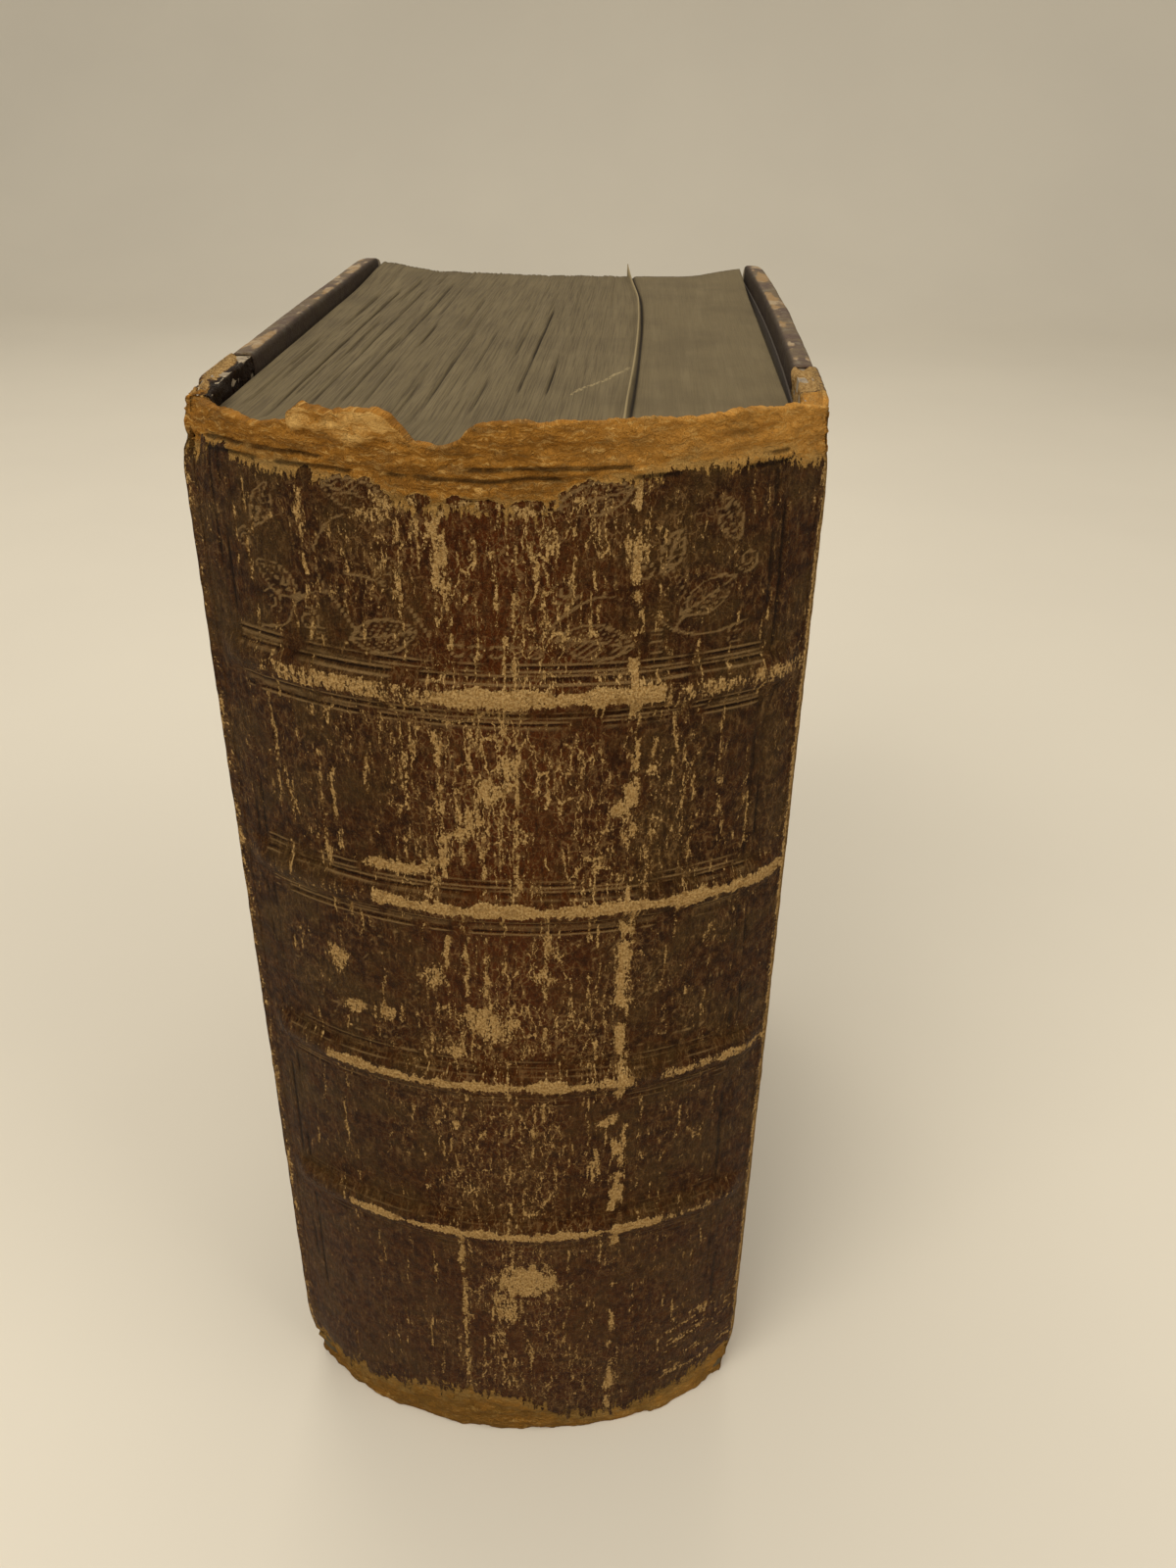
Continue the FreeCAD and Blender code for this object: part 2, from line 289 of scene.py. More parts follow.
def makeCalf():
    # Calf that was polished by handling: a dark semi-gloss skin, cracked and rubbed through to a
    # matt tan flesh side. The skin's fine wrinkles are about 0.5 mm, cracks run up the spine.
    look = coloursOf(leatherLook)
    material, tree, shader = newMaterial("wornPolishedCalf", {"IOR": 1.45, "Specular IOR Level": 0.08})
    flat = add(tree, "Attribute", out="Vector", attribute_name="flat")
    wear, suede, tail, tooling, red, craze, flap = readMaps(
        tree, "wear", "suede", "tail", "tooling", "red", "craze", "flap")
    streaks = mottle(tree, flat, 1.0, 4, 0.65, (1.5, 0.4, 1))
    fine = mottle(tree, flat, 3.0, 3, 0.65, (1, 0.7, 1))
    grit = mottle(tree, flat, 4.5, 3, 0.7, (1.15, 0.8, 1))
    medium = mottle(tree, flat, 0.55, 4, 0.65)
    broad = mottle(tree, flat, 0.11, 3, 0.6)
    bend = add(tree, "TexNoise", {"Vector": flat, "Scale": 0.7, "Detail": 3.0}, out="Color")
    bent = add(tree, "VectorMath", {0: bend, 1: (1.6, 1.6, 0.0), 2: flat}, operation="MULTIPLY_ADD")

    # fine cracks along the edges of long cells, about 1.6 mm apart
    cracks = maskOf(tree, (cellEdges(tree, bent, (0.62, 0.17, 1)), 0.06, 0.02), craze)
    worn = totalOf(tree, wear, (streaks, 1.6), (fine, 1.3), (grit, 0.55), centre=0.5)
    worn = totalOf(tree, worn, (cracks, 0.36))
    wornMask = maskOf(tree, (worn, 0.55, 0.66))
    scuffAndGlintNet = cellEdges(tree, bent, (1.15, 0.6, 1))     # light scuffs and painted glints on the grain, about 0.8 mm apart
    skin = layColours(
        tree, look["deep"],
        (look["brown"], (medium, 0.36, 0.64)),
        (look["olive"], (broad, 0.42, 0.62, 0.6)),
        (look["red"], red, (medium, 0.3, 0.6, 1.0, 0.35)),
        # light lines on the grain: scuffs, and painted glints
        (look["scuff"], (scuffAndGlintNet, 0.1, 0.03), (medium, 0.4, 0.58, 0.7, 0.1), (craze, 0.3, 0.85, 1.0, 0.3)),
        (look["scuff"], (grit, 0.58, 0.72, 0.45)),
        (look["deep"], (grit, 0.48, 0.36, 0.4)),
        (look["scuff"], (streaks, 0.56, 0.68, 0.45)),
        (look["deep"], (streaks, 0.46, 0.34, 0.7)),
        # the groove colour darkens the tooled grooves, and paints shade into the back lap's holes and onto
        # its inner head edge
        (look["groove"], (tooling, -0.05, -0.8, 0.85)),
        (look["lip"], (tooling, 0.08, 0.7, 0.75)),
        (look["tanEdge"], (worn, 0.36, 0.56, 0.5)))
    bare = layColours(tree, look["tan"], (look["paleTan"], (fine, 0.35, 0.65)),
                      (look["tanEdge"], (medium, 0.5, 0.72, 0.65)))

    # flesh side: orange-brown fibres in long torn folds, brighter towards the front cover
    folds = mottle(tree, bent, 0.5, 5, 0.7, (0.35, 1.5, 1))
    fibres = mottle(tree, bent, 1.0, 4, 0.7, (0.5, 2.2, 1))
    towardsFront = add(tree, "SeparateXYZ", {0: flat})
    foot = totalOf(tree, suede, (folds, 1.5), centre=0.5)
    flesh = layColours(
        tree, look["suedeDark"],
        (look["suede"], (folds, 0.36, 0.6)),
        (look["suedeRight"], (towardsFront, 2, 34, 0.7)),
        (look["suedeLight"], (fibres, 0.5, 0.68, 0.7)),
        (look["suedeDark"], (fibres, 0.44, 0.3, 0.7)),
        (look["tanEdge"], (broad, 0.5, 0.68, 0.35)),
        (look["suedeFoot"], (foot, 1.0, 0.6, 0.6)),
        (look["rubbedTail"], tail),
        (layColours(tree, look["suede"], (look["flap"], (folds, 0.35, 0.6))), flap),
        # on the flesh side the groove colour paints shade into the back lap's holes
        (look["groove"], (tooling, -0.1, -0.8, 0.75)))
    torn = totalOf(tree, suede, (streaks, 1.3), (fine, 0.7), centre=0.5)
    fleshMask = maskOf(tree, (torn, 0.46, 0.54))

    matt = add(tree, "Math", {0: wornMask, 1: fleshMask}, operation="MAXIMUM")
    rough = totalOf(tree, maskOf(tree, (matt, 0.0, 1.0, 0.8, 0.36)), (fine, 0.14))
    tree.links.new(rough, shader.inputs["Roughness"])
    grain = maskOf(tree, (cellEdges(tree, bent, (1.7, 1.7, 1)), 0.0, 0.2))
    height = totalOf(
        tree, 0.0,
        (wornMask, -0.8), (fleshMask, -0.6), (grain, 0.35), (fine, 1.1), (streaks, 0.9), (grit, 0.8),
        (maskOf(tree, fibres, fleshMask), 1.6), (maskOf(tree, folds, fleshMask), 3.4))
    joinShader(tree, shader, layColours(tree, skin, (bare, wornMask), (flesh, fleshMask)), height, 0.00042)
    return material


# the gap colour is painted shade in the cracks between leaves
leafLook = {"edge": "#64563a", "pale": "#77684a", "dark": "#463a26", "gap": "#241b10", "proud": "#a18d63"}


def makeLeafEdges():
    # Cut edges of rag paper, grey-brown with dust and sprinkled colour: matt, with fine leaf lines.
    look = coloursOf(leafLook)
    material, tree, shader = newMaterial("dustyCutLeafEdges", {"Roughness": 0.85, "Specular IOR Level": 0.14})
    # the leaf vector is millimetres across the leaves, along them, and nothing
    place = add(tree, "Attribute", out="Vector", attribute_name="leaf")
    gap, ruffled = readMaps(tree, "gap", "ruffled")
    lines = mottle(tree, place, 1.0, 3, 0.65, (4.6, 0.07, 1))
    groups = mottle(tree, place, 1.0, 3, 0.6, (0.45, 0.03, 1))
    stain = mottle(tree, place, 0.06, 4, 0.6)
    specks = mottle(tree, place, 1.6, 3, 0.7)
    # one pale scratch across the leaves, about 19 mm long and 0.5 mm wide
    along, across = (add(tree, "VectorMath", {0: place, 1: way}, out="Value", operation="DOT_PRODUCT")
                     for way in ((0.376, 0.927, 0.0), (0.927, -0.376, 0.0)))
    across = totalOf(tree, across, (mottle(tree, place, 0.12, 1, 0.5), 3.0), centre=0.5)
    scratch, length = (add(tree, "Math", {0: value, 1: middle, 2: half}, operation="COMPARE")
                       for value, middle, half in ((across, 22.3, 0.26), (along, -24.8, 9.7)))
    base = layColours(
        tree, look["edge"],
        (look["dark"], (lines, 0.56, 0.36, 0.75), ruffled),
        (look["pale"], (groups, 0.45, 0.75, 0.35)),
        (look["dark"], (stain, 0.4, 0.7, 0.35)),
        (look["pale"], (specks, 0.66, 0.74, 0.5)),
        # painted shade in the gaps between leaves, and a painted shadow beside the proud leaf
        (look["gap"], (gap, 0.1, 0.8)),
        (look["proud"], (gap, -0.1, -0.8)),
        (look["proud"], scratch, (specks, 0.42, 0.56, 0.6), length))
    joinShader(tree, shader, base, totalOf(tree, lines, (specks, 0.3)), 0.00012, 0.8)
    return material


endpaperLook = {
    "paper": "#c9b893", "shade": "#b29b70", "fox": "#8d6534", "dust": "#8d7c5c", "headDustAndShade": "#3d3020",
}


def makeEndpaper():
    # Laid rag paper, yellowed and foxed: matt cream, brown spots of 1 to 3 mm, darkened at its head by dust
    # and by painted shade.
    look = coloursOf(endpaperLook)
    material, tree, shader = newMaterial("foxedLaidPaper", {"Roughness": 0.85})
    place = add(tree, "TexCoord", out="Object")
    laid = mottle(tree, place, 1.0, 2, 0.5, (900, 900, 60))
    base = layColours(
        tree, look["paper"],
        (look["shade"], (mottle(tree, place, 35, 4, 0.6), 0.35, 0.7)),
        (look["fox"], (mottle(tree, place, 260, 2, 0.5), 0.66, 0.74, 0.7)),
        (look["dust"], (laid, 0.4, 0.7, 0.15)),
        # darker towards the head: dust, and painted shade where the paper sits in the narrow gaps at the head
        (look["headDustAndShade"], (add(tree, "SeparateXYZ", {0: place}, out=2), 0.180, 0.187)))
    joinShader(tree, shader, base, laid, 0.00005, 0.5)
    return material


sideLook = {"ground": "#64533b", "purple": "#544234", "grey": "#756a55", "fleck": "#a08a68", "tan": "#8d6e44",
            "dark": "#291e13"}


def makeSidePaper():
    # Sized paper with sprinkled colour, scuffed: satin to matt, grey-purple with pale rubbed flecks.
    look = coloursOf(sideLook)
    values = {"Roughness": 0.75, "Specular IOR Level": 0.15}
    material, tree, shader = newMaterial("scuffedSprinkledPaper", values)
    place = add(tree, "TexCoord", out="Object")
    rub, shade = readMaps(tree, "rub", "shade")
    cloud = mottle(tree, place, 240, 5, 0.65)
    vein = mottle(tree, place, 420, 5, 0.7)
    fine = mottle(tree, place, 1300, 4, 0.7)
    rubbed = totalOf(tree, rub, (fine, 0.5), (vein, 0.5))
    base = layColours(
        tree, look["ground"],
        (look["purple"], (cloud, 0.4, 0.6)),
        (look["grey"], (vein, 0.52, 0.66, 0.8)),
        (look["dark"], (fine, 0.6, 0.7, 0.8)),
        (layColours(tree, look["tan"], (look["fleck"], (cloud, 0.4, 0.6))), (rubbed, 0.8, 1.0, 0.85)),
        (look["dark"], (shade, 0.0, 1.0, 0.8)))
    joinShader(tree, shader, base, totalOf(tree, fine, (vein, 0.6)), 0.0003, 0.9)
    return material


def makePlainFibre(name, dark, light, scale):
    # Grey rag pasteboard or twisted hemp: matt, short fibres that show as fine light and dark flecks.
    material, tree, shader = newMaterial(name, {"Roughness": 0.85})
    fibre = mottle(tree, add(tree, "TexCoord", out="Object"), scale, 5, 0.7, (1, 1, 0.4))
    base = layColours(tree, colour(dark), (colour(light), (fibre, 0.35, 0.65)))
    joinShader(tree, shader, base, fibre, 0.0001, 0.7)
    return material


calf = makeCalf()
leafEdges = makeLeafEdges()
endpaper = makeEndpaper()
sidePaper = makeSidePaper()
pasteboard = makePlainFibre("ragPasteboard", "#6f5f48", "#9c8a6b", 900)
hemp = makePlainFibre("hempCord", "#8a7148", "#b59c6c", 1400)
print("materials made")


# the leather, as one sheet: u runs along it from mid spine, z up

leather = {
    "bandHalfWidth": 2.7, "bandRise": 1.3, "bandRunOut": 5.0, "bandStop": 1.0,
    "crestHalf": (1.3, 1.15, 0.95, 0.78),
    "filletOffsets": (-4.1, -2.55, 2.55, 4.1),
    "filletReach": (-38.0, 36.5),
    "filletDepth": 0.13,
    "filletKept": (1.15, 0.95, 0.6, 0.42),
    # head edge: place along the leather, and height
    "headEdge": ((-44.8, 189.9), (-41, 189.2), (-36, 189.3), (-31, 188.7), (-26.6, 189.4), (-25.8, 191.0),
                 (-24.2, 191.9), (-21, 191.4), (-17.5, 191.9), (-14, 192.0), (-12.2, 191.3), (-10.9, 189.7),
                 (-9.6, 188.7), (-6.5, 188.3), (-4.2, 188.6), (-3.0, 190.1), (-1.4, 191.1), (4, 191.5),
                 (9, 191.2), (16, 191.6), (24, 191.2), (31, 191.6), (38, 191.3), (42, 191.0), (44.8, 190.4)),
    "suedeFoot": ((-44.8, 183.5), (-43, 182.5), (-40, 184.6), (-35, 183.6), (-30, 183.2), (-25, 182.8),
                  (-20, 182.4), (-15, 181.4), (-10, 180.4), (-5, 180.2), (0, 180.6), (5, 180.2),
                  (8, 180.8), (10, 181.8), (15, 183.6), (20, 184.6), (25, 185.0), (30, 184.8),
                  (37, 185.3), (39, 184.6), (41, 183.4), (44.8, 183.5)),
    "tailTop": ((-44.8, 7.0), (-40, 8.0), (-35, 6.6), (-30, 6.2), (-25, 6.8), (-20, 8.6), (-10, 10.2),
                (-5, 10.6), (0, 9.4), (5, 7.2), (10, 5.0), (15, 4.4), (25, 4.0), (30, 5.0), (35, 7.0),
                (40, 8.6), (44.8, 10.0)),
    # skin that is left in the flesh side: u, z, half width, half height
    "islands": ((12.3, 182.3, 4.9, 2.1), (-17.2, 181.8, 5.0, 2.0), (-9.4, 181.6, 1.8, 0.8),
                (-4.4, 181.8, 1.6, 0.7), (-0.6, 181.4, 1.5, 0.7), (4.0, 181.2, 2.0, 0.9),
                (-24.0, 183.4, 1.0, 1.3), (23.0, 184.2, 3.0, 0.8),
                (-37.5, 184.0, 1.4, 1.6), (-41.6, 184.4, 0.7, 1.5), (6.8, 179.4, 1.4, 0.9)),
    # rubbed crests: band, from, to, strength
    "crests": ((0, -34, -8, 0.85), (0, -9, 22, 1.0), (0, 24, 37, 0.7), (0, 37, 44.5, 0.75),
               (1, -44, -20, 0.42), (1, -19, 44.5, 1.05), (2, -38, -31, 0.35), (2, -30, 20, 1.0),
               (2, 24, 44.5, 0.9), (3, -29, 26, 1.0), (3, 26, 36, 0.7), (3, 36, 44.5, 0.35)),
    # rubbed patches: u, z, half width, half height, strength
    "patches": (
        (-15.5, 179.3, 3.0, 1.2, 0.7), (-12, 181.2, 3.0, 1.0, 0.75), (-3, 181.2, 5.0, 0.9, 0.7),
        (4.5, 180.6, 3.0, 0.9, 0.75), (6.5, 178.2, 1.4, 2.0, 0.6), (5.0, 172.5, 0.8, 3.0, 0.5),
        (17.4, 175.5, 1.5, 3.0, 0.75), (-7.0, 172, 1.0, 7.0, 0.5), (-14.5, 173.5, 1.0, 2.0, 0.6),
        (-25, 165, 1.3, 4.0, 0.5), (-31.5, 161.2, 1.6, 0.9, 0.5), (-25.3, 178, 0.9, 4.5, 0.55),
        (1.0, 144.8, 1.5, 2.8, 0.8), (-1.5, 141.4, 1.6, 2.2, 0.8), (-4.0, 137.4, 1.5, 1.8, 0.8),
        (-5.2, 134.6, 2.2, 1.3, 0.85), (-7.6, 131.6, 1.2, 1.0, 0.75), (-9.6, 129.5, 1.6, 1.0, 0.8),
        (-15.5, 127.9, 5.2, 1.1, 0.95), (16.6, 138.6, 2.0, 1.5, 0.75), (17.6, 135.5, 1.3, 3.2, 0.6),
        (14.6, 134.0, 1.0, 4.0, 0.55), (13.6, 130.2, 1.0, 2.0, 0.7), (21.0, 144.5, 0.8, 2.0, 0.55),
        (-26.5, 108.8, 1.9, 1.9, 0.95), (-24.5, 100.0, 2.6, 1.2, 0.8), (-18.5, 100.2, 1.6, 1.8, 0.85),
        (-10.5, 108.8, 1.8, 1.8, 0.85), (-9.0, 103.0, 1.6, 1.6, 0.6), (-3.0, 101.0, 3.6, 3.2, 0.95),
        (-8.0, 94.6, 1.5, 1.1, 0.85), (6.0, 110.0, 1.8, 1.3, 0.8), (17.8, 105.0, 1.8, 1.6, 0.75),
        (3.0, 96.0, 1.0, 1.8, 0.5), (31.5, 113.5, 1.4, 1.8, 0.5), (24.5, 101.0, 1.3, 1.8, 0.4),
        (16.0, 79.8, 1.8, 1.3, 0.85), (14.0, 71.0, 0.9, 4.0, 0.7), (18.5, 70.5, 0.9, 5.0, 0.65),
        (16.5, 66.5, 1.6, 0.8, 0.65), (-4.0, 77.5, 0.9, 1.3, 0.7), (-6.5, 65.0, 3.0, 1.6, 0.5),
        (3.5, 60.0, 2.6, 0.8, 0.65), (-28.5, 69.0, 0.7, 5.0, 0.45), (31.5, 72.5, 1.0, 2.2, 0.55),
        (2.5, 42.5, 4.8, 4.6, 1.0), (-1.0, 35.5, 2.6, 5.0, 0.75), (-2.6, 27.0, 1.5, 5.0, 0.6),
        (-8.0, 36.0, 1.0, 9.0, 0.6), (-3.0, 18.0, 4.5, 5.0, 0.35), (17.8, 14.0, 1.2, 6.0, 0.5),
        (36.0, 25.5, 4.0, 0.7, 0.7), (32.0, 19.5, 3.0, 0.5, 0.55), (35.5, 14.5, 3.5, 0.5, 0.6),
        (27.0, 22.5, 3.0, 0.4, 0.45), (34.0, 10.5, 4.0, 0.6, 0.5), (-8.2, 12.0, 2.0, 3.0, 0.5)),
    # long cracks up the spine: u, foot, head, half width, strength
    "cracks": (
        (-34.2, 128, 183, 0.35, 0.75), (-33.0, 160, 181, 0.3, 0.6), (-30.2, 142, 153, 0.25, 0.6),
        (-26.3, 92, 154, 0.45, 0.75), (-25.2, 159, 184, 0.6, 0.9), (-24.2, 124, 153, 0.45, 0.8),
        (-19.6, 160, 180, 0.3, 0.6), (-14.6, 126, 152, 0.3, 0.6), (-11.8, 140, 182, 0.35, 0.8),
        (-8.2, 92, 154, 0.5, 0.95), (-7.4, 157, 183, 0.5, 1.0), (-6.2, 158, 182, 0.5, 0.95),
        (-5.6, 104, 154, 0.4, 0.8), (-2.4, 92, 183, 0.35, 0.8), (0.2, 12, 182, 0.35, 0.8),
        (2.2, 120, 181, 0.4, 0.85), (6.2, 60, 180, 0.35, 0.7), (9.4, 126, 152, 0.25, 0.55),
        (12.6, 58, 182, 0.35, 0.7), (17.6, 4, 186, 0.75, 1.05), (18.6, 60, 184, 0.5, 0.9),
        (20.8, 124, 182, 0.35, 0.7), (25.4, 12, 153, 0.3, 0.6), (27.0, 128, 183, 0.3, 0.65),
        (31.2, 92, 182, 0.35, 0.65), (-27.4, 58, 86, 0.4, 0.6), (-22.2, 14, 52, 0.25, 0.55),
        (-24.6, 10, 60, 0.3, 0.55), (-8.6, 4, 84, 0.55, 0.85), (-6.4, 60, 88, 0.35, 0.7),
        (-11.0, 58, 86, 0.3, 0.6), (21.4, 30, 88, 0.3, 0.6), (35.6, 92, 183, 0.25, 0.55),
        (-36.0, 14, 60, 0.25, 0.4), (13.0, 10, 22, 0.4, 0.6), (10.6, 12, 20, 0.35, 0.5)),
    "shortCracks": 380,
}


def curveAt(u, table):
    return np.interp(u, [p[0] for p in table], [p[1] for p in table])


def headEdge(u):
    ragged = 0.7 * swing(u / 2.2, 0, 41, 3) + 0.3 * swing(u / 0.5, 0, 42, 1)
    return curveAt(u, leather["headEdge"]) + ragged * (1 - ramp(np.abs(u), 39, 44))


def strokeDistance(u, z, path):
    # distance from each point to a drawn line, worked out only near it
    path = np.asarray(path, float)
    near = ((u > path[:, 0].min() - 2) & (u < path[:, 0].max() + 2)
            & (z > path[:, 1].min() - 2) & (z < path[:, 1].max() + 2))
    result = np.full(u.shape, 9.0)
    if near.any():
        pu = u[near][:, None] - path[None, :, 0]
        pz = z[near][:, None] - path[None, :, 1]
        result[near] = np.sqrt((pu ** 2 + pz ** 2).min(axis=1))
    return result


def smoothPath(points, step=0.18):
    # a curve through the given points
    points = np.asarray(points, float)
    padded = np.vstack([2 * points[0] - points[1], points, 2 * points[-1] - points[-2]])
    out = []
    for k in range(1, len(padded) - 2):
        a, b, c, d = padded[k - 1:k + 3]
        n = max(2, int(np.linalg.norm(c - b) / step))
        for t in np.arange(n) / n:
            out.append(0.5 * (2 * b + (c - a) * t + (2 * a - 5 * b + 4 * c - d) * t ** 2
                              + (3 * b - a - 3 * c + d) * t ** 3))
    out.append(points[-1])
    return np.array(out)


def coil(centre, radius, start, turns):
    angles = np.radians(start) + np.linspace(0, 2 * np.pi * turns, int(40 * abs(turns)))
    radii = radius * (1 - np.linspace(0, 0.8, len(angles)))
    return np.stack([centre[0] + radii * np.cos(angles), centre[1] + radii * np.sin(angles)], axis=1)


def leafStamp(u, z, centre, length, width, turn):
    # line work of one pointed leaf with a midrib and side veins, 1 on a line
    angle = math.radians(turn)
    along = (u - centre[0]) * math.cos(angle) + (z - centre[1]) * math.sin(angle)
    across = -(u - centre[0]) * math.sin(angle) + (z - centre[1]) * math.cos(angle)
    across = across - 0.06 * along ** 2 / length
    t = np.clip(along / length + 0.5, 0, 1)
    half = width / 2 * np.sin(np.pi * t) ** 0.75
    inside = (np.abs(along) < length / 2) & (np.abs(across) < half)
    outline = peak(np.abs(across) - half, 0.22) * (np.abs(along) < length / 2 + 0.2)
    phase = (along - np.abs(across) * 1.1) / 1.15
    vein = 0.8 * peak((phase - np.round(phase)) * 1.15, 0.2)
    return np.maximum(outline, inside * np.maximum(np.maximum(peak(across, 0.16), vein), 0.36))


ornament = {
    "leaves": ((-17.2, 181.6, 9.6, 4.0, -10), (12.3, 182.2, 9.4, 4.0, 12), (-14.8, 163.4, 9.6, 4.6, 14),
               (12.6, 163.6, 10.0, 4.8, 172), (27.5, 168.6, 8.6, 4.2, 28), (-30.0, 168.8, 8.0, 3.8, 150),
               (30.0, 178.6, 6.6, 3.2, 118), (-31.5, 178.4, 6.6, 3.2, 64), (22.2, 175.0, 6.0, 3.0, 70)),
    "stems": (((-34, 161.4), (-29.5, 162.6), (-27, 166.5), (-22.5, 168.2), (-19, 164.2), (-17.5, 163)),
              ((-22.5, 168.2), (-24, 173), (-21.5, 177.5), (-19, 179)),
              ((5.6, 164.2), (8.6, 167.4), (13.5, 169.8), (18.5, 168), (23, 164.5), (28, 163.4), (34, 164.6)),
              ((13.5, 169.8), (15.2, 174), (12, 178.4)),
              ((23, 164.5), (24.6, 168), (22, 173.4)),
              ((-8.6, 164.2), (-11.5, 168.2), (-15.2, 170.8), (-19.6, 171.4))),
    "coils": (((-31.6, 165.6), 1.9, -60, 1.6), ((-25.6, 164.0), 1.7, 100, -1.5),
              ((-13.6, 172.6), 2.0, 200, 1.6),
              ((8.6, 170.6), 1.9, -20, -1.6), ((32.0, 162.6), 1.5, 90, 1.5), ((18.6, 172.8), 1.8, 250, -1.6),
              ((33.0, 172.8), 1.7, 200, 1.5), ((-35.0, 173.4), 1.6, 20, 1.5)),
    "discs": tuple((x, 162.4) for x in (-5, -2.5, 0, 2.5, 5)),
    "ladders": ((-23.8, 160.6, 163.8), (20.6, 160.6, 165.0)),
    # panel, and how much of the tooling is left in it
    "panels": ((0, 1.0), (2, 0.6), (3, 0.4), (4, 0.3)),
}


def toolingMarks(u, z):
    # blind tooling that is still there, 1 along the lines of the stamps
    marks = np.zeros(u.shape)
    lines = [(smoothPath(points), 0.24) for points in ornament["stems"]]
    lines += [(coil(*each), 0.22) for each in ornament["coils"]]
    for panel, left in ornament["panels"]:
        zz = z + panel * book["bandSpacing"]
        near = (zz > 158) & (zz < 186)
        if not near.any():
            continue
        pu = u[near]
        pz = zz[near]
        drawn = [leafStamp(pu, pz, each[:2], *each[2:]) for each in ornament["leaves"]]
        drawn += [peak(strokeDistance(pu, pz, path), width) for path, width in lines]
        drawn += [peak(np.hypot(pu - cu, pz - cz) - 0.85, 0.2) for cu, cz in ornament["discs"]]
        rungs = peak(np.abs(pz / 0.8 - np.round(pz / 0.8)) * 0.8, 0.18)
        drawn += [rungs * (np.abs(pu - cu) < 0.8) * (pz > low) * (pz < high)
                  for cu, low, high in ornament["ladders"]]
        kept = 0.6 + 0.4 * ramp(layered(pu / 5, pz / 5, 61, 3), 0.3, 0.5)
        marks[near] = np.maximum(marks[near], np.max(drawn, axis=0) * left * kept)
    return marks


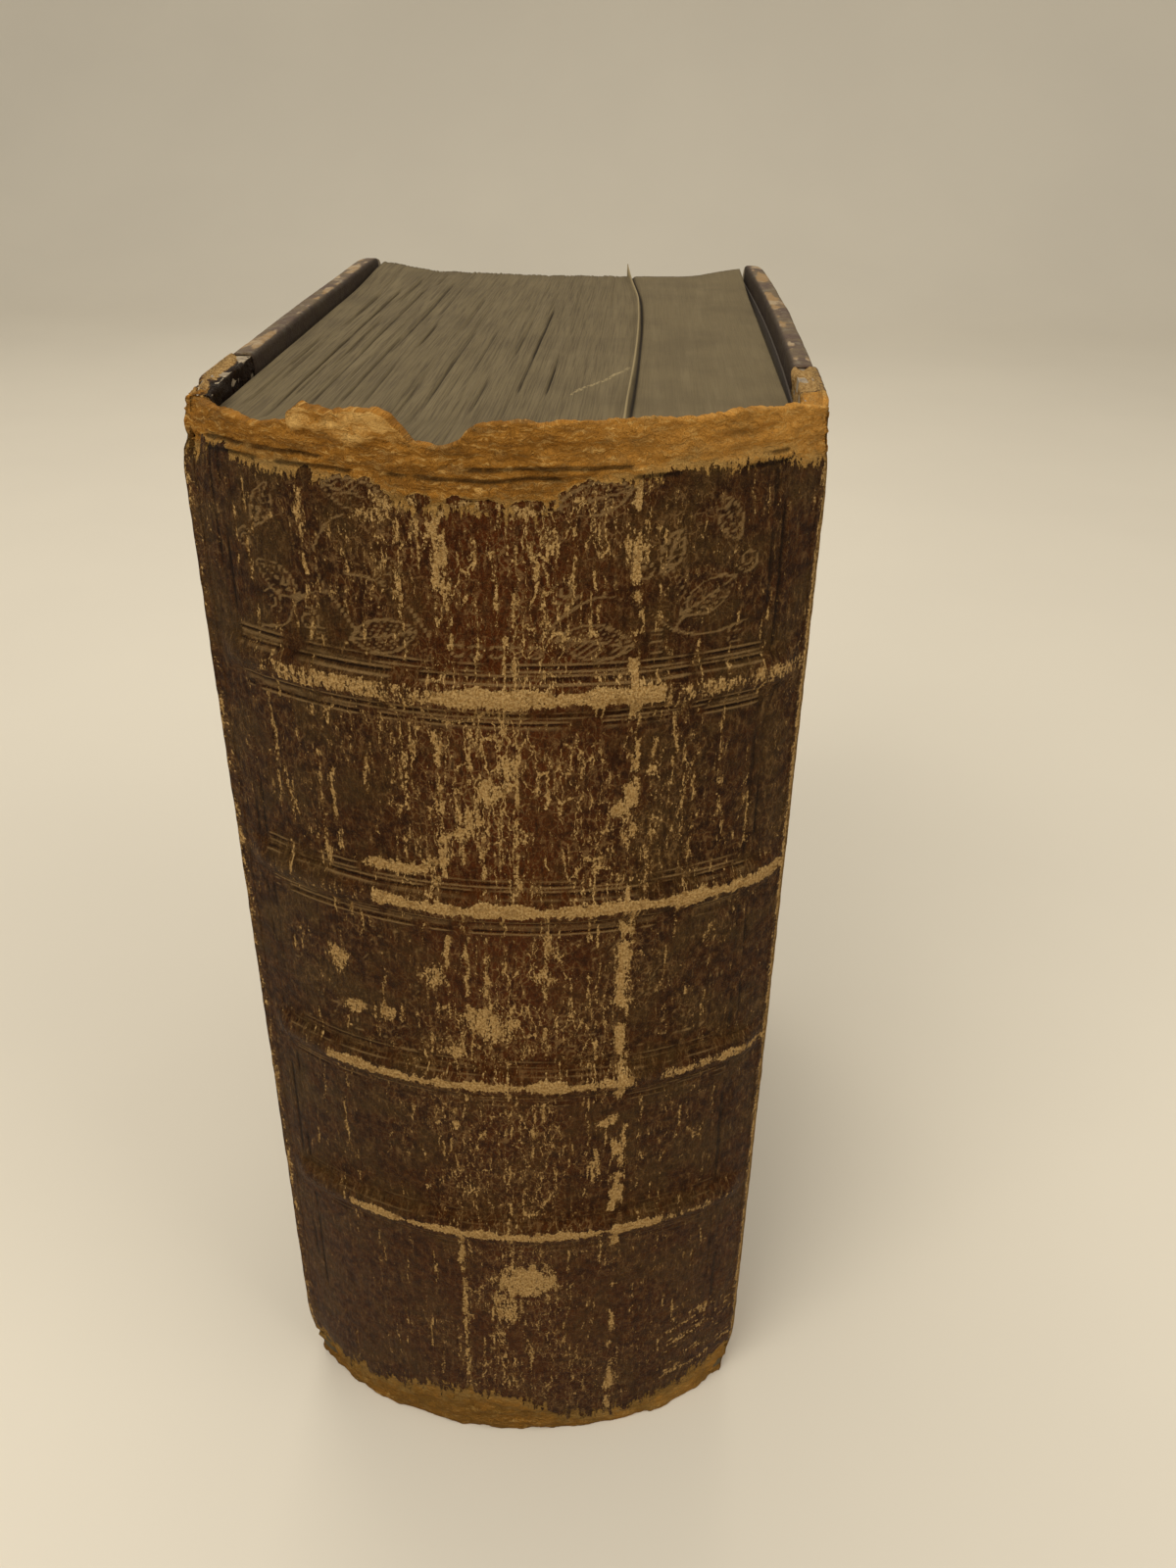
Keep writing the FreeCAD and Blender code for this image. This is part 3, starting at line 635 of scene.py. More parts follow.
def leatherSheet(u, z):
    # what the leather is like at each point: lift off the plain surface, and its maps
    side = np.sign(u)
    uj = book["spineHalfGirth"]
    beyond = np.maximum(np.abs(u) - uj, 0)        # past the joint, on a board
    onSpine = beyond <= 0
    lift, wear, groove, lip = (np.zeros(u.shape) for _ in range(4))

    bandFade = ramp(uj - leather["bandStop"] - np.abs(u), 0, leather["bandRunOut"])
    for number, zBand in enumerate(book["bands"]):
        away = np.abs(z - zBand - 0.5 * swing(u / 9, 0, 70 + number, 1))
        body = np.clip(1 - (away / leather["bandHalfWidth"]) ** 2, 0, 1) ** 0.85
        body = body * (0.94 + 0.1 * noise(u / 3, 0, 80 + number))
        foot = 0.054 * peak(away - leather["bandHalfWidth"], 0.7)
        lift += bandFade * (leather["bandRise"] * body + foot)
        edge = 0.9 * swing(u / 0.9, z / 0.9, 90 + number, 2) + 0.8 * swing(u / 2.6, 0, 95 + number, 1)
        strip = ramp(leather["crestHalf"][number] + edge - away, -0.35, 0.45)
        gaps = 0.5 + 0.55 * layered(u / 1.9, z / 2.0, 100 + number, 2)
        for which, low, high, strength in leather["crests"]:
            if which == number:
                run = strip * window(u, low - 0.8, low + 0.8, high - 0.8, high + 0.8)
                wear = np.maximum(wear, run * np.minimum(strength * gaps + 0.18 * (strength > 0.9), 1.0))
        low, high = leather["filletReach"]
        reach = leather["filletKept"][number] * window(u, low - 0.5, low + 0.5, high - 0.5, high + 0.5)
        for offset in leather["filletOffsets"]:
            gap = z - zBand - offset - 0.2 * swing(u / 14, 0, 110, 1)
            left = reach * ramp(layered(u / 3, 3.7 * offset + number, 111, 3), 0.2, 0.62)
            groove = np.maximum(groove, peak(gap, 0.24) * left)
            lip = np.maximum(lip, peak(np.abs(gap) - 0.42, 0.2) * left)

    # upright double lines at both sides of each panel, and the lines near the head
    tops = (184.5,) + tuple(b - 4.5 for b in book["bands"])
    inPanel = np.max([window(z, top - 25.2, top - 24.6, top - 0.6, top) for top in tops], axis=0)
    for place in (-40.0, -38.4, 36.6, 38.2):
        gap = u - place - 0.25 * swing(z / 25, 0, 115, 1)
        left = 0.3 + 0.6 * ramp(layered(z / 7, place, 116, 2), 0.35, 0.6)
        groove = np.maximum(groove, peak(gap, 0.3) * left * inPanel)
    for line in (184.4, 185.7):
        gap = z - line - 0.4 * ramp(u, -10, 30) + 0.25 * swing(u / 6, 0, 117, 1)
        left = 0.9 * ramp(layered(u / 5, line, 118, 2), 0.38, 0.55) * window(u, -42, -40.5, 38, 38.6)
        groove = np.maximum(groove, peak(gap, 0.3) * left)

    stamps = toolingMarks(u, z)
    spread = ramp(stamps, 0.15, 0.75)
    groove = np.maximum(groove, 0.25 * ramp(stamps, 0.02, 0.3) * (1 - spread))
    lip = np.maximum(lip, spread * (0.42 + 0.75 * layered(u / 1.3, z / 1.3, 119, 2)))

    for pu, pz, halfU, halfZ, strength in leather["patches"]:
        near = (np.abs(u - pu) < 2.2 * halfU) & (np.abs(z - pz) < 2.2 * halfZ)
        nu = u[near]
        nz = z[near]
        away = np.hypot((nu - pu) / halfU, (nz - pz) / halfZ) + 1.2 * swing(nu / 1.2, nz / 1.2, 130, 3)
        specked = 0.72 + 0.35 * layered(nu / 0.9, nz / 1.3, 131, 3)
        wear[near] = np.maximum(wear[near], strength * specked * ramp(-away, -1.7, -0.45))

    for number, (cu, low, high, half, strength) in enumerate(leather["cracks"]):
        wander = 0.9 * swing(z / 6, 0, 200 + number, 2) + 0.5 * swing(z / 1.1, 0, 300 + number, 1)
        gap = u - cu - wander
        near = np.abs(gap) < 3
        nz = z[near]
        broken = ramp(layered(nz / 3.2, 0, 400 + number, 3), 0.30, 0.62)
        ends = window(nz, low - 1, low + 2, high - 2, high + 1)
        width = np.maximum(half * (0.35 + 1.3 * noise(nz / 1.8, 0, 500 + number)), 0.22)
        wear[near] = np.maximum(wear[near], strength * broken * ends * peak(gap[near], width))

    rng = np.random.default_rng(7)
    for number in range(leather["shortCracks"]):
        cu = rng.normal(3, 17) if rng.random() < 0.45 else rng.uniform(-37, 37)
        cz = rng.uniform(92, 183) if rng.random() < 0.6 else rng.uniform(12, 90)
        half = rng.uniform(0.8, 5.0)
        strength = rng.uniform(0.4, 0.8)
        if abs(cu) > 37:
            continue
        near = (np.abs(u - cu) < 2) & (np.abs(z - cz) < half + 1)
        nz = z[near]
        gap = u[near] - cu - 0.8 * swing(nz / 2.2, 0, 600 + number, 2)
        run = ramp(half - np.abs(nz - cz), -0.4, 0.8)
        wear[near] = np.maximum(wear[near], strength * run * peak(gap, 0.28))

    # the skin is thinnest at mid spine, so it is crazed most there
    craze = (0.5 + 0.5 * peak(u - 2, 20)) * (0.72 + 0.28 * ramp(z, 50, 120))
    craze = craze * (0.5 + 0.5 * ramp(layered(u / 6, z / 9, 141, 3), 0.35, 0.6)) * onSpine
    wear = np.maximum(wear, craze * (0.25 + 0.17 * ramp(layered(u / 1.1, z / 5, 140, 3), 0.35, 0.65)))
    combed = ramp(layered(u / 6, (z - 0.25 * u) / 0.55, 142, 2), 0.55, 0.75)
    wear = np.maximum(wear, 0.62 * combed * ramp(u, 20, 30) * ramp(-z, -34, -26) * onSpine)

    # rubbed ridge along both joints, most at the front cover
    rubbed = layered(z / 6, side, 150, 3)
    rubbed = np.where(side > 0, 0.72 + 0.5 * rubbed, 0.2 + 0.6 * rubbed)
    wear = np.maximum(wear, peak(np.abs(u) - uj, 0.9) * rubbed)

    # suede where the skin is lost: the head, and rubbed thin at the tail
    teeth = 1.2 * swing(u / 0.7, z / 6, 160, 3) + 0.9 * swing(u / 3, z / 3, 161, 2)
    foot = curveAt(u, leather["suedeFoot"]) + np.minimum(beyond * 0.6, 7.0)
    suede = np.clip(0.5 + (z - foot + teeth) / 5.0, 0, 1)
    ragged = 0.9 * swing(u / 0.9, z / 0.9, 162, 3)
    for iu, iz, halfU, halfZ in leather["islands"]:
        away = np.hypot((u - iu) / halfU, (z - iz) / halfZ) + ragged
        suede = suede * (1 - ramp(-away, -1.05, -0.75))
    teeth = 7.0 * swing(u / 1.4, z / 4, 170, 4)
    suede = np.maximum(suede, np.clip(0.5 + (curveAt(u, leather["tailTop"]) - z + teeth) / 9.0, 0, 1))
    tail = ramp(-z, -16, -4) * (0.2 + 0.7 * layered(u / 3, z / 3, 171, 3))

    # the loosened flap at the head
    lower = 188.0 + 0.9 * np.abs(np.sin((u + 27) * 0.35)) - 0.8 * peak(u + 16.5, 2.2)
    lower = lower + 0.9 * swing(u / 1.4, 0, 180, 3)
    sideways = u + 0.5 * (z - 190) + 0.8 * swing(z / 1.2, 0, 181, 1)
    flap = window(sideways, -26.8, -26.0, -11.2, -10.4) * ramp(z - lower, -0.15, 0.25)

    lift -= 0.12 * ramp(wear, 0.3, 0.8) * (1 - suede)
    lift += 0.09 * lip - leather["filletDepth"] * groove
    lift += 0.2 * swing(u / 1.3, z / 2.2, 190, 4) * (1 - suede)
    foldU = u + 3.0 * swing(z / 3, u / 9, 193, 1)
    foldZ = z + 2.0 * swing(u / 5, z / 4, 194, 1)
    lift -= ramp(suede, 0.4, 0.65) * (0.2 - 1.7 * swing(foldU / 4.2, foldZ / 1.15, 191, 4))
    lift += (0.45 + 0.5 * swing(u / 3, z / 2, 182, 3)) * flap
    lift += 0.5 * swing(u / 20, z / 24, 192, 2) * ramp(uj - np.abs(u), 0, 8)
    red = peak(u - 1, 13) * (0.3 + 0.7 * ramp(z, 60, 120)) + 0.25 * peak(z - 30, 30)
    return {"lift": lift, "wear": wear, "suede": suede, "tooling": lip - groove, "red": np.clip(red, 0, 1),
            "flap": flap, "craze": craze, "tail": tail}


def storeLeather(obj, u, z, sheet, inner):
    # inner marks the points of the flesh side, which is suede all over
    store(obj, "flat", np.stack([u, z, np.zeros(u.shape)], axis=-1), vector=True)
    for name in ("wear", "suede", "tooling", "red", "flap", "craze", "tail"):
        store(obj, name, np.where(inner, 1.0 if name == "suede" else 0.0, sheet[name]))


dents = {
    # inward push in mm at the corners of the back and the front cover
    "jointHead": (1.4, 0.6), "jointTail": (2.1, 1.8), "farHead": (1.5, 1.3), "farTail": (0.6, 0.5),
}


def dent(side, y, z):
    # how far a cover is pushed in towards the leaves by the knocks at its corners
    which = 0 if side < 0 else 1
    joint = ramp(-y, 42, 55.4)
    far = ramp(y, 60, 71.5)
    tail = ramp(-z, -14, 0)
    return (joint * ramp(z, 180, 190) * dents["jointHead"][which] + joint * tail * dents["jointTail"][which]
            + far * ramp(z, 174, 190) * dents["farHead"][which] + far * tail * dents["farTail"][which])


def dentSpine(u, z):
    # the same knocks as they reach round onto the spine
    y = np.full(u.shape, book["jointY"])
    push = np.where(u < 0, dent(-1, y, z), dent(1, y, z))
    return np.sign(u) * push * ramp(np.abs(u), 35, 44.3)


spine = {
    "columns": 214,
    "edgeRound": 0.35,
    "thickness": 1.0,
    "headcap": 1.85,       # thickness with the turn-in behind the head and tail
    "turnInHead": 187.75,
    "turnInTail": 2.3,
    # rows stand closest where there is tooling: step in the stamped panel, at a band, above, below
    "stampedFrom": 158, "bandReach": 5.2, "upperFrom": 92, "lastRow": 187.0,
    "steps": (0.31, 0.34, 0.5, 0.6),
    "crownRows": 12,       # rows from the last even one up to the torn head edge
}


def spineRows():
    # heights of the leather's rows
    stamped, atBand, upper, lower = spine["steps"]
    rows = [spine["edgeRound"]]
    while rows[-1] < spine["lastRow"]:
        z = rows[-1]
        if z > spine["stampedFrom"]:
            step = stamped
        elif min(abs(z - b) for b in book["bands"]) < spine["bandReach"]:
            step = atBand
        else:
            step = upper if z > spine["upperFrom"] else lower
        rows.append(z + step)
    return np.array(rows)


def makeSpineLeather():
    uj = book["spineHalfGirth"]
    radius = book["spineRadius"]
    u = np.linspace(-uj, uj, spine["columns"])
    rows = spineRows()
    t = np.arange(1, spine["crownRows"] + 1) / spine["crownRows"]
    topZ = rows[-1] + t * (headEdge(u)[:, None] - spine["edgeRound"] - rows[-1])
    outerZ = np.concatenate([np.broadcast_to(rows, (len(u), len(rows))), topZ], axis=1)
    outerRows = outerZ.shape[1]
    sheet = leatherSheet(np.repeat(u[:, None], outerRows, axis=1), outerZ)
    outR = radius + sheet["lift"]
    innerHead = radius - spine["headcap"]
    innerLow = radius - spine["thickness"]

    def rim(start, centreZ, outer):
        angles = np.linspace(start, start + math.pi, 7)[1:-1]
        middle = (outer + innerHead) / 2
        half = (outer - innerHead) / 2
        return [(middle + half * math.cos(a), centreZ + spine["edgeRound"] * math.sin(a)) for a in angles]

    ring = [(outR[:, k], outerZ[:, k]) for k in range(outerRows)]
    ring += rim(0, outerZ[:, -1], outR[:, -1])
    ring += [(innerHead, outerZ[:, -1]), (innerHead, spine["turnInHead"]),
             (innerLow, spine["turnInHead"] - 0.1), (innerLow, spine["turnInTail"] + 0.1),
             (innerHead, spine["turnInTail"]), (innerHead, spine["edgeRound"])]
    ring += rim(math.pi, spine["edgeRound"], outR[:, 0])
    ringR, ringZ = (np.stack([np.broadcast_to(point[k], u.shape) for point in ring], axis=1) for k in (0, 1))
    ringZ = np.maximum(ringZ, 0.0)
    perRing = len(ring)
    angle = u / radius
    x = ringR * np.sin(angle)[:, None]
    y = book["spineCentreY"] - ringR * np.cos(angle)[:, None]
    # both side edges stay in the joint plane
    for column in (0, -1):
        x[column] = x[column] * (book["spineCentreY"] - book["jointY"]) / (book["spineCentreY"] - y[column])
        y[column] = book["jointY"]
    ringU = np.repeat(u[:, None], perRing, axis=1)
    x = x - dentSpine(ringU, ringZ)
    faces = gridFaces(perRing, len(u), closeRows=True)
    last = (len(u) - 1) * perRing
    faces += [tuple(range(perRing)), tuple(last + k for k in reversed(range(perRing)))]
    obj = buildMesh("spineLeather", np.stack([x, y, ringZ], axis=-1).reshape(-1, 3), faces)
    maps = {name: np.concatenate([values, np.repeat(values[:, -1:], perRing - outerRows, axis=1)], axis=1)
            for name, values in sheet.items()}
    storeLeather(obj, ringU, ringZ, maps, np.arange(perRing) >= outerRows)
    standFor(obj, "spine_leather", calf, "book_block")


makeSpineLeather()


# covers

covers = {
    "front": {"side": 1, "chord": book["frontChord"], "bow": book["frontBow"]},
    "back": {"side": -1, "chord": book["backChord"], "bow": book["backBow"]},
}


def coverPoint(cover, y, offset):
    # x and y of a cover at plan line y, offset outward from the bare board
    half = book["boardWidth"] / 2
    radius = (half ** 2 + cover["bow"] ** 2) / (2 * cover["bow"])
    centre = cover["chord"] + cover["bow"] - radius
    along = y - book["jointY"] - half
    slope = np.sqrt(radius ** 2 - along ** 2)
    x = cover["side"] * (centre + slope) + cover["side"] * slope / radius * offset
    return x, y + along / radius * offset


lap = {
    "farY": -30.4, "startY": -55.1, "outer": 0.8, "inner": -3.0, "turnIn": 12.0, "edgeRound": 0.75,
    "overSpine": 1.6,       # how far the leather is drawn over the spine's edge at each joint
    "step": 0.5, "tongueSteps": 6,
    "fleshReach": {"front": 9.0, "back": 3.0},      # from the joint to the skin on the head edge
    "holes": ((6.5, 2.4, 192.6), (14.5, 1.8, 193.2), (1.2, 1.3, 191.8)),    # place, half width, height
}


def lapSection():
    # offset, height and thickness round a board from inner face to inner face, from tail to head
    high = book["height"]
    out, inn, r, turnIn = (lap[key] for key in ("outer", "inner", "edgeRound", "turnIn"))
    quarter = np.linspace(0, math.pi / 2, 5)
    thin = 0.4 + 0 * quarter
    swell = 0.3 * np.sin(quarter)
    section = [(inn, z, 0.4) for z in np.arange(turnIn, r, -1.2)]

    def corner(n, z, start, thicks):
        for a, thick in zip(start + quarter, thicks):
            section.append((n + r * math.cos(a), z + r * math.sin(a), thick))

    def boardEdge(start, stop, z):
        for n in np.linspace(start, stop, 5)[1:-1]:
            section.append((n, z, 0.4))

    corner(inn + r, r, math.pi, thin)
    boardEdge(inn + r, out - r, 0.0)
    corner(out - r, r, -math.pi / 2, thin + swell)
    low = len(section) - 4
    section.extend((out, z, 0.75) for z in np.arange(r, high - r, 0.62)[1:])
    top = len(section) + 4
    corner(out - r, high - r, 0, thin + 0.3 - swell)
    boardEdge(out - r, inn + r, high)
    corner(inn + r, high - r, math.pi / 2, thin)
    section.extend((inn, z, 0.4) for z in np.arange(high - r, high - turnIn, -1.2)[1:])
    return np.array(section), low, top


def makeLap(name):
    cover = covers[name]
    side = cover["side"]
    uj = book["spineHalfGirth"]
    section, low, high = lapSection()
    offsets, heights, thick = section.T
    rows = len(section)
    columns = np.linspace(lap["farY"], lap["startY"], int((lap["farY"] - lap["startY"]) / lap["step"]))
    depth = np.maximum(np.minimum(heights, book["height"] - heights) - lap["edgeRound"], 0)
    inward = lap["outer"] - offsets + depth
    runZ = np.where(offsets > 0.01, heights, np.where(heights < 95, -inward, book["height"] + inward))
    points = []
    flatU = []
    for y in columns:
        x, planY = coverPoint(cover, y, offsets)
        points.append(np.stack([x, planY, heights], axis=1))
        flatU.append(np.full(rows, side * (uj + 0.3 + y - lap["startY"])))
    flatZ = [runZ] * len(columns)
    thickness = [thick] * len(columns)
    faces = gridFaces(rows, len(columns))

    # the tongue goes on over the joint to the spine, on the outer face only
    z = heights[low:high]
    ends = np.maximum(ramp(z, 188.2, 189.6), ramp(-z, -2.2, -0.6))
    startX, startY = coverPoint(cover, lap["startY"], lap["outer"])
    count = len(columns) * rows
    previous = count - rows + np.arange(low, high)
    for t in np.arange(1, lap["tongueSteps"] + 1) / lap["tongueSteps"]:
        u = side * (uj + 0.3 - lap["overSpine"] * t)
        r = book["spineRadius"] + 0.06 * (1 - t) + 0.02 - 0.8 * ends * t
        soft = min(1.0, 1.6 * t)
        x = startX * (1 - soft) + r * math.sin(u / book["spineRadius"]) * soft
        y = startY * (1 - soft) + (book["spineCentreY"] - r * math.cos(u / book["spineRadius"])) * soft
        lowered = z + 0.9 * t * (ramp(-z, -3, 0) - ramp(z, 187, 190))
        points.append(np.stack([x, y, lowered], axis=1))
        flatU.append(np.full(len(z), u))
        flatZ.append(z)
        thickness.append(np.full(len(z), 0.6 - 0.3 * t))
        current = count + np.arange(len(z))
        quads = np.stack([previous[:-1], current[:-1], current[1:], previous[1:]], axis=1)
        faces += [tuple(quad) for quad in quads.tolist()]
        previous = current
        count += len(z)
    points, flatU, flatZ, thickness = (np.concatenate(each) for each in (points, flatU, flatZ, thickness))
    faces, normals = faceOut(points, faces, side, (flatZ > 20) & (flatZ < 170))

    sheet = leatherSheet(flatU, flatZ)
    beyond = np.abs(flatU) - uj
    onEdge = np.maximum(ramp(-flatZ, -1.5, 0.2), ramp(flatZ, 188.8, 190.2))
    suede = np.maximum(sheet["suede"], onEdge * (0.45 + 0.5 * layered(flatU / 2, flatZ / 2, 220, 3)))
    atEnds = np.maximum(ramp(flatZ, 188.0, 189.6), ramp(-flatZ, -2.5, -0.6))
    lift = np.clip(sheet["lift"], -0.6, 0.6) * (1 - atEnds * ramp(-beyond, -3, 0.2))
    reach = lap["fleshReach"][name]
    frayed = beyond + 1.5 * swing(flatZ / 2, beyond / 3, 221, 3)
    tan = ramp(flatZ, 189.2, 190.4) * ramp(frayed, reach, reach + 2)
    suede = suede * (1 - tan)
    wear = np.maximum(sheet["wear"], tan * (0.98 + 0.5 * swing(beyond / 3, flatZ / 1.5, 222, 3)))
    tooling = sheet["tooling"]
    if side < 0:
        for place, half, depth in lap["holes"]:
            away = np.hypot((beyond - place) / half, (flatZ - depth) / 0.8)
            hole = ramp(-away - 0.8 * swing(beyond, flatZ, 223, 3), -1.2, -0.7)
            # the holes get the groove colour: painted shade inside them
            tooling = np.where(hole > 0.5, -1.0, tooling)
            wear = wear * (1 - hole)
            lift = lift - 0.12 * hole
        # painted shade on the inner side of the back lap's head edge, which faces the leaves
        inside = window(flatZ + 1.2 * swing(beyond / 3, flatZ / 3, 224, 3), 192.4, 193.0, 195.5, 198)
        suede = suede * (1 - inside)
        wear = wear * (1 - inside)
        tooling = np.where(inside > 0.5, -1.0, tooling)
    sheet.update(suede=suede, wear=wear, tooling=tooling)

    points, faces = thicken(points + normals * lift[:, None], faces, thickness)
    flatU = np.tile(flatU, 2)
    flatZ = np.tile(flatZ, 2)
    onTongue = np.abs(flatU) < uj + 0.29
    push = np.where(onTongue, np.abs(dentSpine(flatU, points[:, 2])), dent(side, points[:, 1], points[:, 2]))
    points[:, 0] -= side * push * np.where(~onTongue & (np.abs(flatZ - 95) > 98), 0.8, 1.0)
    points[:, 2] = np.maximum(points[:, 2], 0.0)
    obj = buildMesh(name + "LeatherLap", points, faces)
    maps = {key: np.tile(values, 2) for key, values in sheet.items()}
    storeLeather(obj, flatU, flatZ, maps, np.arange(len(points)) >= len(points) // 2)
    standFor(obj, name + "_leather_lap", calf)
    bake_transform(obj)


for coverName in covers:
    makeLap(coverName)


paperSheet = {
    "nearY": -30.35, "outer": 0.35, "inner": -3.0, "turnIn": 15.0, "edgeRound": 0.9, "thickness": 0.3,
    "step": 1.3,
}


def insetOutline(s, inset):
    # point s (0 to 1) of the paper's outline seen from the side, set in by inset: from the tail's
    # near corner along the tail, up the fore-edge and back along the head
    radius = book["cornerRadius"] + book["edgeSkin"]
    near = paperSheet["nearY"]
    far = book["jointY"] + book["boardWidth"] + book["edgeSkin"]
    high = book["height"]
    straight = far - near - radius
    corner = math.pi / 2 * radius
    total = 2 * straight + 2 * corner + high - 2 * radius
    d = s * total
    onHead = d > total / 2
    d = np.where(onHead, total - d, d)
    inner = max(radius, inset)
    a = np.clip((d - straight) / radius, 0, math.pi / 2)
    past = d - straight - corner
    y = np.where(d <= straight, np.minimum(near + d, far - inner), far - inner + (inner - inset) * np.sin(a))
    z = np.where(past > 0, np.clip(radius + past, inner, high - inner), inner - (inner - inset) * np.cos(a))
    z = np.where(d <= straight, inset, z)
    return y, np.where(onHead, high - z, z), total


def crushCorner(points, cover, offset):
    # the head corner is knocked round on its outer side, the inner side stays
    y = points[:, 1].copy()
    z = points[:, 2].copy()
    bump = ramp(y, 61, 72) * ramp(z, 176, 190)
    outward = np.clip((offset + 3.0) / 3.35, 0, 1)
    points[:, 0] -= cover["side"] * (dent(cover["side"], y, z) * 0.45 + 1.5 * bump) * outward
    points[:, 2] -= 1.1 * bump ** 2
    points[:, 1] -= 0.6 * bump ** 2


def makePaperSide(name):
    cover = covers[name]
    side = cover["side"]
    out, inn, r = (paperSheet[key] for key in ("outer", "inner", "edgeRound"))
    count = int(insetOutline(np.zeros(1), 0.0)[2] / paperSheet["step"])
    quarter = np.linspace(0, math.pi / 2, 6)
    levels = [(inset, out) for inset in (9.0, 6.5, 4.6, 3.0, 1.8)]
    levels += [(r - r * math.sin(a), out - r + r * math.cos(a)) for a in quarter]
    levels += [(0.0, n) for n in np.linspace(out - r, inn + r, 5)[1:-1]]
    levels += [(r - r * math.cos(a), inn + r - r * math.sin(a)) for a in quarter]
    levels += [(inset, inn) for inset in (2.5, 5.0, 9.0, paperSheet["turnIn"])]
    s = np.linspace(0, 1, count)
    rings = [insetOutline(s, inset)[:2] + (np.full(count, offset),) for inset, offset in levels]
    grid = np.transpose(rings, (2, 0, 1)).reshape(-1, 3)      # y, z and offset of each point

    # the middle of the outer face is a plain grid whose rim meets the first level
    first = grid[::len(levels)]
    low = first[:, 1].min()
    far = first[:, 0].max()
    tailYs = sorted({round(float(y), 6) for y, z, n in first if abs(z - low) < 1e-6})
    foreZs = sorted({round(float(z), 6) for y, z, n in first if abs(y - far) < 1e-6})
    work = bmesh.new()
    verts = [work.verts.new(p) for p in grid]
    for face in gridFaces(len(levels), count):
        work.faces.new([verts[i] for i in face])
    bmesh.ops.remove_doubles(work, verts=work.verts, dist=1e-5)
    known = {(round(v.co.x, 4), round(v.co.y, 4)): v for v in work.verts if abs(v.co.z - out) < 1e-6}

    def at(a, b):
        key = (round(a, 4), round(b, 4))
        if key not in known:
            known[key] = work.verts.new((a, b, out))
        return known[key]

    for a, b in zip(tailYs, tailYs[1:]):
        for c, d in zip(foreZs, foreZs[1:]):
            work.faces.new((at(a, c), at(b, c), at(b, d), at(a, d)))
    bmesh.ops.remove_doubles(work, verts=work.verts, dist=1e-3)
    bmesh.ops.recalc_face_normals(work, faces=work.faces)
    work.verts.index_update()
    yy, zz, nn = np.array([v.co[:] for v in work.verts]).T
    polygons = [tuple(v.index for v in f.verts) for f in work.faces]
    polygons = [p if len(p) == 4 else p + p[-1:] for p in polygons]      # a triangle as a quad
    work.free()

    x, y = coverPoint(cover, yy, nn)
    points = np.stack([x, y, zz], axis=1)
    polygons, normals = faceOut(points, polygons, side, nn > out - 1e-6)
    wobble = 0.28 * swing(yy / 14, zz / 14 + nn, 230 + side, 3)
    wobble += 0.12 * swing(yy / 2.5 + nn, zz / 2.5, 232 + side, 3)
    wobble -= 0.35 * ramp(yy, 58, 71.5) * np.maximum(ramp(zz, 178, 190), ramp(-zz, -10, 0))
    wobble *= ramp(yy, paperSheet["nearY"], paperSheet["nearY"] + 3)
    points = points + normals * wobble[:, None]
    crushCorner(points, cover, nn)
    edge = np.maximum(np.maximum(ramp(zz, 186.5, 190), ramp(-zz, -3, 0)), ramp(yy, 68.5, 71.5))
    rub = 0.55 * edge * ramp(layered(yy / 5 + zz / 5, nn / 2 + zz / 9, 240, 3), 0.35, 0.7)
    rub += 0.35 * ramp(layered(yy / 9, zz / 9, 242 + side, 4), 0.56, 0.7)
    shade = ramp(-nn, 2.2, 2.95) * (0.6 + 0.4 * ramp(zz, 150, 188))
    shade = np.maximum(shade, 0.7 * ramp(yy, 61, 72) * ramp(zz, 176, 190))
    points, polygons = thicken(points, polygons, paperSheet["thickness"])
    points[:, 2] = np.maximum(points[:, 2], 0.0)
    polygons = [p for p in (tuple(dict.fromkeys(p)) for p in polygons) if len(p) > 2]
    obj = buildMesh(name + "SidePaper", points, polygons)
    store(obj, "rub", np.tile(rub * (1 - shade), 2))
    store(obj, "shade", np.tile(shade, 2))
    standFor(obj, name + "_side_paper", sidePaper, name + "_cover")


for coverName in covers:
    makePaperSide(coverName)


def makeBoard(name):
    # pasteboard under the leather and paper, with rounded corners at the fore-edge
    cover = covers[name]
    near = book["jointY"] + 0.3
    far = book["jointY"] + book["boardWidth"]
    low = book["edgeSkin"]
    high = book["height"] - low
    r = book["cornerRadius"]
    ys = np.concatenate([np.linspace(near, far - r, 44), np.linspace(far - r, far, 6)[1:]])
    zs = np.concatenate([np.linspace(low, low + r, 6), np.linspace(low + r, high - r, 60)[1:],
                         np.linspace(high - r, high, 6)[1:]])
    y, z = (g.ravel() for g in np.meshgrid(ys, zs, indexing="ij"))
    p = np.clip((y - (far - r)) / r, 0, 1)
    q = np.clip(np.maximum((z - (high - r)) / r, (low + r - z) / r), 0, 1)
    corner = (p > 0) & (q > 0)
    up = np.where(z > 95, 1, -1)
    base = np.where(z > 95, high - r, low + r)
    y = np.where(corner, far - r + r * p * np.sqrt(1 - q ** 2 / 2), y)
    z = np.where(corner, base + up * r * q * np.sqrt(1 - p ** 2 / 2), z)
    x, y = coverPoint(cover, y, -0.02)
    points = np.stack([x, y, z], axis=1)
    faces, _ = faceOut(points, gridFaces(len(zs), len(ys)), cover["side"])
    points, faces = thicken(points, faces, book["boardThickness"] - 0.04)
    joint = ramp(-points[:, 1], 42, 55.4)
    points[:, 0] -= cover["side"] * dent(cover["side"], points[:, 1], points[:, 2]) * 0.9 * joint
    crushCorner(points, cover, np.repeat([-0.1, -2.7], len(z)))
    obj = buildMesh(name + "Board", points, faces, smooth=False)
    standFor(obj, name + "_board", pasteboard, name + "_cover")


for coverName in covers:
    makeBoard(coverName)


# text block: one ring of points a leaf, side by side across the thickness

